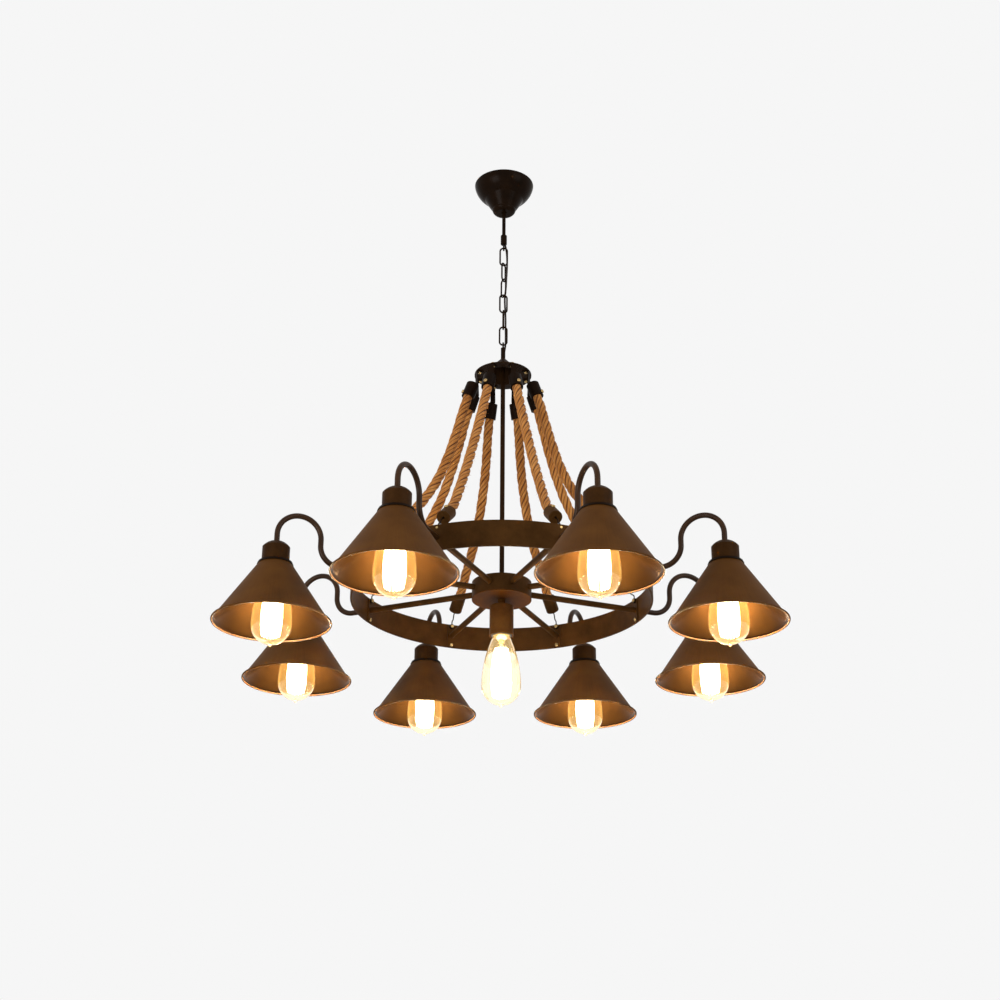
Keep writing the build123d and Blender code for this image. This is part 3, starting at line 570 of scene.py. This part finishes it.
def laid_rope(name, path, side, material, seed):
    """Columns of points that wind with the strands, one turn per lay length. Across a strand the radius falls
    to the groove with a power of the way from its crown, and dips again between the strand's yarns."""
    steps = np.linalg.norm(np.diff(path, axis=0), axis=1)
    travel = np.concatenate([[0], np.cumsum(steps)])
    columns = np.linspace(0, 2 * np.pi, rope_columns, endpoint=False)
    across = np.mod(columns * strand_count / (2 * np.pi), 1.0)
    groove = np.abs(2 * across - 1) ** groove_sharpness
    dip = (0.5 + 0.5 * np.cos(2 * np.pi * yarn_count * across)) ** yarn_sharpness
    from_end = np.minimum(travel, travel[-1] - travel)
    swell = np.clip((from_end - rope_grip_length) / rope_swell_length, 0, 1)
    full = rope_grip_radius + (rope_radius - rope_grip_radius) * swell * swell * (3 - 2 * swell)
    wobble = wobble_height * np.sin(wobble_rate * travel + seed)
    depth = gripped_groove_share + (1 - gripped_groove_share) * swell
    radii = (full + wobble)[:, None] - depth[:, None] * (groove_depth * groove + yarn_depth * dip)
    angles = columns[None, :] + 2 * np.pi * travel[:, None] / lay_length
    grid = round_path(path, side, angles, radii)
    map_size = (1.0, travel[-1] * rope_map_scale)
    piece = surface(name, grid, material, capped=True, map_size=map_size, sharp=180)
    # Marks the grooves and the dips between yarns for the painted shade in the hemp material.
    mark = piece.data.attributes.new("groove_shade", "FLOAT", "POINT")
    groove_shade = np.broadcast_to(np.maximum(groove, yarn_shade * dip), radii.shape)
    mark.data.foreach_set("value", np.ascontiguousarray(groove_shade).astype(np.float32).ravel())
    return piece, travel[-1]


def loose_fibres(name, path, side, material, seed, count):
    """Short hairs: each is a thin tapering blade that leaves the rope's skin at a random place and way, and
    droops with the square of the distance along it."""
    draw = np.random.default_rng(seed)
    first_root = len(path) // 8
    last_root = 7 * len(path) // 8
    start = draw.integers(first_root, last_root, count)
    turns = np.broadcast_to(draw.uniform(0, 2 * np.pi, count)[None, :], (len(path), count))
    ring = round_path(path, side, turns, np.full((len(path), count), rope_radius - fibre_root_depth))
    root = ring[start, np.arange(count)]
    outward = root - path[start]
    outward /= np.linalg.norm(outward, axis=1, keepdims=True)
    lean = draw.normal(size=(count, 3)) * fibre_lean
    reach = draw.uniform(fibre_shortest, fibre_longest, count)[:, None]
    way = outward + lean
    way /= np.linalg.norm(way, axis=1, keepdims=True)
    stations = np.linspace(0, 1, fibre_rings)[None, :, None]
    droop = np.array([0, 0, -fibre_droop])[None, None, :] * stations**2
    spine = root[:, None, :] + way[:, None, :] * reach[:, None] * stations + droop
    off_axis = 0.01  # keeps the cross product from vanishing where a hair stands straight out
    third = np.cross(way, outward + off_axis)
    third /= np.linalg.norm(third, axis=1, keepdims=True)
    second = np.cross(way, third)
    corners = np.arange(fibre_sides)
    turn = 2 * np.pi * corners / fibre_sides
    ring_way = np.cos(turn)[:, None] * third[:, None, :] + np.sin(turn)[:, None] * second[:, None, :]
    thin = fibre_radius * (1 - fibre_taper * stations)
    points = spine[:, :, None, :] + thin[..., None] * ring_way[:, None, :, :]
    first = np.arange(count)[:, None, None] * fibre_rings * fibre_sides
    base = first + np.arange(fibre_rings - 1)[None, :, None] * fibre_sides
    here = base + corners[None, None, :]
    beside = base + (corners[None, None, :] + 1) % fibre_sides
    faces = np.stack([here, beside, beside + fibre_sides, here + fibre_sides], axis=-1).reshape(-1, 4)
    mesh = bpy.data.meshes.new(name)
    mesh.from_pydata(points.reshape(-1, 3), [], faces.tolist())
    mesh.uv_layers.new(name="UVMap")
    # The hairs get no painted shade.
    mesh.attributes.new("groove_shade", "FLOAT", "POINT")
    mesh.materials.append(material)
    piece = bpy.data.objects.new(name, mesh)
    bpy.context.scene.collection.objects.link(piece)
    return piece


hemp = hemp_rope()
for k, angle in enumerate(arm_angles):
    out = np.array([math.cos(angle), math.sin(angle), 0.0])
    aside = np.array([-math.sin(angle), math.cos(angle), 0.0])
    route = [*rope_start, *rope_middles[rope_kinds[k]], *rope_end]
    route_points = [tuple(reach * out + np.array([0, 0, ring_height + rise])) for reach, rise in route]
    path = spline_points(f"rope_{k + 1}", route_points, rope_spacing)
    rope, rope_length = laid_rope(f"rope_{k + 1}", path, aside, hemp, seed=k)
    fibres = loose_fibres(f"rope_fibres_{k + 1}", path, aside, hemp, seed=40 + k, count=fibre_count)
    for piece in (rope, fibres):
        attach(piece, "frame")
    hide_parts("ropes")


# Goosenecks, caps and the bare lamp's cup: bent steel tube and spun steel, in the brown lacquer.
# Each tube's thin end passes through the cap and screws into the lamp holder.
arm_lacquer = baked_lacquer("arm_brown_lacquer", "#2A1709", "#432A13", roughness=0.34, reflectance=0.15)
dress([f"arm_{k}" for k in range(1, 9)], arm_lacquer)
# Painted shadow: the foot of each cap, where it sits on its shade, is darkened.
cap_shadow_line = ring_height - 0.0076
cap_lacquer = baked_lacquer("cap_brown_lacquer", "#2E1B0A", "#472C12", roughness=0.42, painted_shadow_height=cap_shadow_line)
dress(["socket_caps"], cap_lacquer)
cup_lacquer = baked_lacquer("cup_brown_lacquer", "#4C2C0E", "#6A431B", roughness=0.42)
dress(["centre_socket_cup", "centre_nipple"], cup_lacquer)


# Lamp holders, shade rings and leads: black phenolic mouldings for the screw caps, and the wires to them.
# The ring under each shade clamps it to its holder.
def moulded_phenolic():
    """Phenolic resin: nearly black, semi-gloss, with a faint brown filler mottle."""
    material, tree, output = blank_material("moulded_phenolic")
    place = node(tree, "ShaderNodeTexCoord")
    filler_width = 0.002
    filler = node(
        tree,
        "ShaderNodeTexNoise",
        {"Vector": place.outputs["Object"], "Scale": 1 / filler_width, "Detail": 4.0},
    )
    colour = node(
        tree,
        "ShaderNodeValToRGB",
        {"Fac": filler.outputs["Fac"]},
        stops=[(0.4, "#15100C"), (0.75, "#2A1D14")],
    )
    resin = node(
        tree,
        "ShaderNodeBsdfPrincipled",
        {"Base Color": colour.outputs["Color"], "Roughness": 0.35, "IOR": 1.6, "Specular IOR Level": 0.4},
    )
    tree.links.new(resin.outputs["BSDF"], output.inputs["Surface"])
    return material


dress(["lampholders", "shade_rings"], moulded_phenolic())
dress(["lamp_leads"], sheath)


# Shades: cones spun from thin steel sheet, with a flat top, a flared lip and a rolled bead.
# The brown lacquer was brushed over bronze, so fine streaks run down the cone.
shade_reach = 0.384
shade_top = ring_height - 0.009
shade_rim = shade_top - 0.098
shade_hole = 0.0169
shade_neck = 0.0255
shade_lip = 0.088
shade_mouth = 0.093
shade_lip_rise = 0.0042
shade_sheet = 0.0008
bead_radius = 0.0015
bead_start = math.radians(155)
bead_end = math.radians(385)
lip_belly = 0.0008
neck_roll = 0.0006
neck_rise = 0.0004
shade_segments = 144


def brushed_bronze_lacquer(name, dark, light, metallic, roughness, streak_share):
    """Brown lacquer over brushed bronze: hair-fine streaks down the cone, a warm satin, slight clouding."""
    material, tree, output = blank_material(name)
    place = node(tree, "ShaderNodeTexCoord")
    streak_count = 420.0
    streak_breaks = 2.0
    clouds_per_metre = 22.0
    stretched = node(
        tree,
        "ShaderNodeMapping",
        {"Vector": place.outputs["UV"], "Scale": (streak_count, streak_breaks, 1.0)},
    )
    streaks = node(
        tree, "ShaderNodeTexNoise", {"Vector": stretched.outputs["Vector"], "Scale": 1.0, "Detail": 4.0}
    )
    clouds = node(
        tree,
        "ShaderNodeTexNoise",
        {"Vector": place.outputs["Object"], "Scale": clouds_per_metre, "Detail": 4.0},
    )
    tone = node(
        tree,
        "ShaderNodeMath",
        {0: streaks.outputs["Fac"], 1: streak_share, 2: clouds.outputs["Fac"]},
        operation="MULTIPLY_ADD",
    )
    colour = node(
        tree,
        "ShaderNodeValToRGB",
        {"Fac": tone.outputs["Value"]},
        stops=[(0.2 + 0.3 * streak_share, dark), (0.8 + 0.7 * streak_share, light)],
    )
    gloss = node(
        tree,
        "ShaderNodeMapRange",
        {"Value": streaks.outputs["Fac"], "To Min": roughness - 0.03, "To Max": roughness + 0.05},
    )
    skin = node(
        tree,
        "ShaderNodeBump",
        {"Height": streaks.outputs["Fac"], "Strength": 0.06 * streak_share, "Distance": 0.0003},
    )
    lacquer = node(
        tree,
        "ShaderNodeBsdfPrincipled",
        {
            "Base Color": colour.outputs["Color"],
            "Roughness": gloss.outputs["Result"],
            "Normal": skin.outputs["Normal"],
            "Metallic": metallic,
            "Specular IOR Level": 0.05,
        },
    )
    tree.links.new(lacquer.outputs["BSDF"], output.inputs["Surface"])
    return material


def turned(profile, segments, centre):
    """A profile of (reach, height) points turned about an upright axis through centre: each point goes to
    centre plus reach along every angle, at its height."""
    angles = np.linspace(0, 2 * np.pi, segments, endpoint=False)
    reach, height = np.asarray(profile).T
    x = centre[0] + reach[:, None] * np.cos(angles)
    y = centre[1] + reach[:, None] * np.sin(angles)
    z = np.broadcast_to(centre[2] + height[:, None], x.shape)
    return np.stack([x, y, z], axis=-1)


def shade_profile():
    """Round the bead, up the outside by the lip and the cone to the neck and hole, then down the inside. The
    lip is a straight line less a half sine wave, and the inside is the outside less the sheet's thickness."""
    cone_slope = (shade_lip - shade_neck) / (shade_top - shade_rim - shade_lip_rise)
    across = shade_sheet * math.hypot(1, cone_slope)
    lip_height = shade_rim + shade_lip_rise
    way = np.linspace(0, 1, 14)[:, None]
    lip_way = np.linspace(0, 1, 5)[:, None]
    mouth = np.array([[shade_mouth, shade_rim]])
    lip = np.array([[shade_lip, lip_height]])
    lip_curve = mouth * (1 - lip_way) + lip * lip_way
    lip_curve[:, 0] -= lip_belly * np.sin(np.pi * lip_way[:, 0])
    cone = lip * (1 - way) + np.array([[shade_neck, shade_top]]) * way
    neck_top = shade_top + neck_rise
    neck = np.array([[shade_neck - neck_roll, neck_top], [shade_hole, neck_top]])
    outside = np.concatenate([lip_curve, cone[1:], neck])
    inside = np.concatenate([cone[:-1], [[shade_neck - across / 2, shade_top]], [[shade_hole, shade_top]]])
    inside = inside - np.array([[across, 0.0]])
    inside[-2:] = [[shade_neck - across, shade_top - shade_sheet], [shade_hole, shade_top - shade_sheet]]
    inside_lip = lip_curve - np.array([[across, 0.0]])
    bead_centre = np.array([shade_mouth - across / 2, shade_rim])
    turn = np.linspace(bead_start, bead_end, 11)
    bead = bead_centre + bead_radius * np.stack([np.cos(turn), np.sin(turn)], axis=-1)
    return np.concatenate([bead, outside[1:], inside[::-1], inside_lip[1:-1][::-1]])


shade_outside = brushed_bronze_lacquer(
    "brushed_brown_lacquer", "#4A2C0F", "#643F19", metallic=0.0, roughness=0.55, streak_share=0.5
)
shade_inside = brushed_bronze_lacquer(
    "brushed_bronze_lacquer", "#331F0D", "#402810", metallic=1.0, roughness=0.22, streak_share=0.1
)
profile = shade_profile()
top_row = int(np.argmax(profile[:, 1]))
inner_faces = np.repeat(np.arange(len(profile)) > top_row, shade_segments).astype(np.int32)
for k, angle in enumerate(arm_angles):
    centre = (shade_reach * math.cos(angle), shade_reach * math.sin(angle), 0.0)
    grid = turned(profile, shade_segments, centre)
    shade = surface(f"cone_shade_{k + 1}", grid, shade_outside, closed_rows=True)
    shade.data.materials.append(shade_inside)
    shade.data.polygons.foreach_set("material_index", inner_faces)
    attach(shade, "frame")
    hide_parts(f"shade_{k + 1}")


# Bulbs: blown amber glass of the old pear shape on a brass screw cap, with a cage of glowing wire.
# They are lit, so each has a small warm light inside that rides with it.
glass_length = 0.120
glass_widest = 0.084
glass_radius = 0.032
glass_neck = 0.0145
glass_neck_length = 0.002
glass_wall = 0.0010
glass_tip = 0.004
screw_cap_radius = 0.0132
screw_cap_height = 0.023
thread_pitch = 0.0035
thread_depth = 0.0008
thread_run_out = 0.002
thread_top_land = 0.001
bulb_columns = 72
stem_columns = 32
hairpins = 16
cage_middle = -0.062
cage_half_height = 0.040
cage_reach = 0.0160
cage_lean = 0.0015
cage_barrel = 0.0040
cage_sharpness = 0.9
cage_share_of_turn = 0.985
cage_points = 1400
wire_radius = 0.0009
wire_sides = 6
wire_side_way = (0.3, 0.2, 0.9)
lamp_drop = 0.058
lamp_size = 0.012
shaded_lamp_power = 2.0
bare_lamp_power = 0.1


def blown_amber_glass():
    """Soda-lime glass with an amber lustre: clear and thin, slightly rippled, with a golden bloom and a faint
    even glow from the light that it scatters."""
    material, tree, output = blank_material("blown_amber_glass")
    place = node(tree, "ShaderNodeTexCoord")
    ripple_width = 0.012
    ripples = node(
        tree,
        "ShaderNodeTexNoise",
        {"Vector": place.outputs["Object"], "Scale": 1 / ripple_width, "Detail": 2.0},
    )
    wave = node(
        tree, "ShaderNodeBump", {"Height": ripples.outputs["Fac"], "Strength": 0.15, "Distance": 0.0008}
    )
    glass = node(
        tree,
        "ShaderNodeBsdfPrincipled",
        {
            "Base Color": linear("#FFFAF0"),
            "Normal": wave.outputs["Normal"],
            "Roughness": 0.02,
            "IOR": 1.48,
            "Transmission Weight": 1.0,
            "Sheen Weight": 0.4,
            "Sheen Roughness": 0.3,
            "Sheen Tint": linear("#FFD48A"),
            "Emission Color": linear("#FFD272"),
            "Emission Strength": 0.1,
        },
    )
    tree.links.new(glass.outputs["BSDF"], output.inputs["Surface"])
    return material


def stamped_brass():
    """Stamped brass: yellow metal, with handling marks that dull it in patches."""
    material, tree, output = blank_material("stamped_brass")
    place = node(tree, "ShaderNodeTexCoord")
    patch_width = 0.003
    patches = node(
        tree,
        "ShaderNodeTexNoise",
        {"Vector": place.outputs["Object"], "Scale": 1 / patch_width, "Detail": 4.0},
    )
    colour = node(
        tree,
        "ShaderNodeValToRGB",
        {"Fac": patches.outputs["Fac"]},
        stops=[(0.3, "#9C8352"), (0.7, "#C4AC78")],
    )
    shine = node(
        tree, "ShaderNodeMapRange", {"Value": patches.outputs["Fac"], "To Min": 0.22, "To Max": 0.42}
    )
    metal = node(
        tree,
        "ShaderNodeBsdfPrincipled",
        {"Base Color": colour.outputs["Color"], "Roughness": shine.outputs["Result"], "Metallic": 1.0},
    )
    tree.links.new(metal.outputs["BSDF"], output.inputs["Surface"])
    return material


def glowing_wire(name, strength):
    """Hot carbon wire: it gives out a warm light brighter than the room, a little uneven along its length."""
    material, tree, output = blank_material(name)
    place = node(tree, "ShaderNodeTexCoord")
    hot_spots_per_metre = 60.0
    hot_spots = node(
        tree,
        "ShaderNodeTexNoise",
        {"Vector": place.outputs["Object"], "Scale": hot_spots_per_metre, "Detail": 2.0},
    )
    colour = node(
        tree,
        "ShaderNodeValToRGB",
        {"Fac": hot_spots.outputs["Fac"]},
        stops=[(0.3, "#FFDFA6"), (0.7, "#FFF0CF")],
    )
    wire = node(
        tree,
        "ShaderNodeBsdfPrincipled",
        {
            "Base Color": linear("#3A2A1A"),
            "Roughness": 0.6,
            "Emission Color": colour.outputs["Color"],
            "Emission Strength": strength,
        },
    )
    tree.links.new(wire.outputs["BSDF"], output.inputs["Surface"])
    return material


def glass_profile():
    """Up the outside from the tip to the neck: a small nub, a round end and one long arc. Then down the
    inside, where both arcs have a radius that is less by the wall."""
    drop = glass_widest - glass_neck_length
    flare = glass_radius - glass_neck
    side = (flare**2 + drop**2) / (2 * flare)
    side_middle = glass_radius - side

    def one_wall(inset):
        tip_turn = math.asin((glass_tip - inset / 2) / (glass_radius - inset))
        turn = np.linspace(tip_turn, math.pi / 2, 18)
        end_radius = glass_radius - inset
        end = np.stack([end_radius * np.sin(turn), -glass_widest - end_radius * np.cos(turn)], axis=-1)
        rise = np.linspace(0, 1, 26)[1:] * drop
        arc_reach = side_middle + np.sqrt((side - inset) ** 2 - rise**2)
        long_arc = np.stack([arc_reach, rise - glass_widest], axis=-1)
        nub_way = np.linspace(0, 1, 5)[:-1]
        nub_low = -glass_length + 2 * inset
        nub = np.stack([end[0, 0] * nub_way**0.6, nub_low + (end[0, 1] - nub_low) * nub_way**1.6], axis=-1)
        neck = np.array([[long_arc[-1, 0], 0.0]])
        return np.concatenate([nub, end, long_arc, neck])

    return np.concatenate([one_wall(0.0), one_wall(glass_wall)[::-1]])


def screw_cap_grid(centre):
    """A cap whose radius falls by the thread's depth in a wave that climbs one pitch per turn, under a cone
    of insulator and a flat contact."""
    angles = np.linspace(0, 2 * np.pi, bulb_columns, endpoint=False)[None, :]
    heights = np.linspace(0.0, screw_cap_height, 60)[:, None]
    to_ends = np.minimum(heights - thread_run_out, screw_cap_height - thread_top_land - heights)
    inset = np.clip(to_ends / thread_run_out, 0, 1)
    wave = 0.5 - 0.5 * np.cos(2 * np.pi * heights / thread_pitch - angles)
    reach = screw_cap_radius - thread_depth * inset * wave
    insulator = [[0.0125, 0.0235], [0.0062, 0.0248]]
    contact = [[0.0045, 0.0250], [0.0045, 0.0258], [0.0040, 0.0260], [0.0, 0.0260]]
    top = np.array([*insulator, *contact])
    reach = np.concatenate([np.zeros((1, bulb_columns)), reach, np.repeat(top[:, :1], bulb_columns, axis=1)])
    heights = np.concatenate([[[0.0]], heights, top[:, 1:]])
    x = centre[0] + reach * np.cos(angles)
    y = centre[1] + reach * np.sin(angles)
    z = np.broadcast_to(centre[2] + heights, x.shape)
    return np.stack([x, y, z], axis=-1)


def cage_path(centre):
    """The wire goes up and down in hairpins while it goes once round: its height follows a cosine to a power,
    and its reach a parabola in that height, so the cage is a barrel, widest a little below its middle."""
    way = np.linspace(0, 1, cage_points)
    swing = np.cos(2 * np.pi * hairpins * way)
    level = np.sign(swing) * np.abs(swing) ** cage_sharpness
    height = cage_middle + cage_half_height * level
    reach = cage_reach - cage_lean * level - cage_barrel * level**2
    angle = 2 * np.pi * way * cage_share_of_turn
    x = centre[0] + reach * np.cos(angle)
    y = centre[1] + reach * np.sin(angle)
    return np.stack([x, y, centre[2] + height], axis=-1)


def stem_profile():
    """The glass mount: a flared foot on the cap, a thin rod, and a button that the wires hang from."""
    return np.array(
        [
            [0.0, -0.0900], [0.0016, -0.0898], [0.0022, -0.0885], [0.0012, -0.0870], [0.0011, -0.0320],
            [0.0032, -0.0300], [0.0036, -0.0280], [0.0030, -0.0260], [0.0030, -0.0140], [0.0055, -0.0080],
            [0.0090, -0.0030], [0.0105, -0.0004], [0.0, -0.0004],
        ]
    )


amber_glass = blown_amber_glass()
brass = stamped_brass()
hot_wire = glowing_wire("glowing_wire", strength=520.0)
# With no shade round it, the bare lamp's wire is mirrored in the ring's lacquer, so it is far weaker.
bare_lamp_wire = glowing_wire("bare_lamp_wire", strength=16.0)
bulb_seat = ring_height - 0.0273
centre_bulb_seat = ring_height - 0.0800
bulb_places = [(shade_reach * math.cos(a), shade_reach * math.sin(a), bulb_seat) for a in arm_angles]
bulb_places.append((0.0, 0.0, centre_bulb_seat))
for k, place in enumerate(bulb_places):
    body = f"bulb_{k + 1}"
    shaded = k < len(arm_angles)
    glass_grid = turned(glass_profile(), bulb_columns, place)
    glass = surface(f"bulb_glass_{k + 1}", glass_grid, amber_glass, sharp=60)
    cap = surface(f"bulb_cap_{k + 1}", screw_cap_grid(place), brass)
    stem = surface(f"bulb_stem_{k + 1}", turned(stem_profile(), stem_columns, place), amber_glass)
    wire_line = cage_path(place)
    wire_angles = np.linspace(0, 2 * np.pi, wire_sides, endpoint=False)[None, :]
    wire = surface(
        f"bulb_wire_{k + 1}",
        round_path(wire_line, wire_side_way, wire_angles, np.full((len(wire_line), 1), wire_radius)),
        hot_wire if shaded else bare_lamp_wire,
        capped=True,
    )
    for piece in (glass, cap, stem, wire):
        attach(piece, body)
    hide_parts(body)
    # The point light does the lighting: the wire adds no diffuse light, and glass and wire cast no shadow.
    glass.visible_shadow = False
    stem.visible_shadow = False
    wire.visible_diffuse = False
    wire.visible_shadow = False
    lamp = bpy.data.lights.new(f"bulb_light_{k + 1}", "POINT")
    lamp.energy = shaded_lamp_power if shaded else bare_lamp_power
    lamp.color = linear("#FFDCA6")[:3]
    lamp.shadow_soft_size = lamp_size
    lamp_object = bpy.data.objects.new(f"bulb_light_{k + 1}", lamp)
    lamp_object.location = (place[0], place[1], place[2] - lamp_drop)
    bpy.context.scene.collection.objects.link(lamp_object)
    lamp_object.parent = frame["bodies"][body]


# Camera: below the ring and in front, looking up, as the lamp was photographed.
# The lens is fitted to the ring, the shades and the ceiling cup.
camera_data = bpy.data.cameras.new("camera")
camera_data.sensor_width = 36.0
camera_data.lens = 58.73
camera_data.clip_end = 50.0
camera = bpy.data.objects.new("camera", camera_data)
camera_place = Matrix.Translation((0.0511, -2.5345, ring_height - 0.9587))
camera_heading = Matrix.Rotation(math.radians(1.241), 4, "Z")
camera_pitch = Matrix.Rotation(math.radians(90 + 23.903), 4, "X")
camera_roll = Matrix.Rotation(math.radians(0.380), 4, "Z")
camera.matrix_world = camera_place @ camera_heading @ camera_pitch @ camera_roll
bpy.context.scene.collection.objects.link(camera)
bpy.context.scene.camera = camera


# Studio: a pale floor well below the lamp, an even pale surround and two broad soft lights in front.
# The surround is what the camera, the metal and the glass see.
def background_ray(tree):
    """1 for rays that see the background, from the camera, off gloss or through glass, and 0 for the rest."""
    ray = node(tree, "ShaderNodeLightPath")
    direct = node(
        tree,
        "ShaderNodeMath",
        {0: ray.outputs["Is Camera Ray"], 1: ray.outputs["Is Glossy Ray"]},
        operation="MAXIMUM",
    )
    any_of_them = node(
        tree,
        "ShaderNodeMath",
        {0: direct.outputs["Value"], 1: ray.outputs["Is Transmission Ray"]},
        operation="MAXIMUM",
    )
    return any_of_them.outputs["Value"]


def painted_floor():
    """Matt pale paint with a barely visible roller texture. It looks paler than it lights the lamp."""
    material, tree, output = blank_material("painted_floor")
    place = node(tree, "ShaderNodeTexCoord")
    roller_marks_per_metre = 3.0
    roller = node(
        tree,
        "ShaderNodeTexNoise",
        {"Vector": place.outputs["Object"], "Scale": roller_marks_per_metre, "Detail": 3.0},
    )
    colour = node(
        tree, "ShaderNodeValToRGB", {"Fac": roller.outputs["Fac"]}, stops=[(0.3, "#EDEDEC"), (0.7, "#F1F1F0")]
    )
    glow = 0.5
    paleness = node(tree, "ShaderNodeMapRange", {"Value": background_ray(tree), "To Max": glow})
    paint = node(
        tree,
        "ShaderNodeBsdfPrincipled",
        {
            "Base Color": colour.outputs["Color"],
            "Roughness": 0.9,
            "Emission Color": colour.outputs["Color"],
            "Emission Strength": paleness.outputs["Result"],
        },
    )
    tree.links.new(paint.outputs["BSDF"], output.inputs["Surface"])
    return material


floor_half = 15.0
floor_height = -2.5
floor_mesh = bpy.data.meshes.new("floor")
floor_ways = [(-1, -1), (1, -1), (1, 1), (-1, 1)]
floor_corners = [(x * floor_half, y * floor_half, floor_height) for x, y in floor_ways]
floor_mesh.from_pydata(floor_corners, [], [(0, 1, 2, 3)])
floor_mesh.materials.append(painted_floor())
floor = bpy.data.objects.new("floor", floor_mesh)
bpy.context.scene.collection.objects.link(floor)

world = bpy.data.worlds.new("pale_surround")
bpy.context.scene.world = world
world.use_nodes = True
sky = world.node_tree
sky.nodes.clear()
backdrop = node(sky, "ShaderNodeBackground", {"Color": linear("#F6F6F6"), "Strength": 1.0})
soft_light = node(sky, "ShaderNodeBackground", {"Color": linear("#FFFFFF"), "Strength": 0.4})
surround = node(
    sky,
    "ShaderNodeMixShader",
    {0: background_ray(sky), 1: soft_light.outputs[0], 2: backdrop.outputs[0]},
)
node(sky, "ShaderNodeOutputWorld", {"Surface": surround.outputs[0]})

studio_lights = {"key_light": ((-1.6, -2.2, -1.2), 34.0), "fill_light": ((1.9, -1.6, -0.4), 14.0)}
light_width = 1.4
aim = (0.0, 0.0, -0.75)
for name, (place, power) in studio_lights.items():
    light = bpy.data.lights.new(name, "AREA")
    light.energy = power
    light.size = light_width
    light_object = bpy.data.objects.new(name, light)
    way = Vector(place) - Vector(aim)
    light_object.rotation_euler = way.to_track_quat("Z", "Y").to_euler()
    light_object.location = place
    bpy.context.scene.collection.objects.link(light_object)

bpy.context.scene.view_settings.view_transform = "Standard"
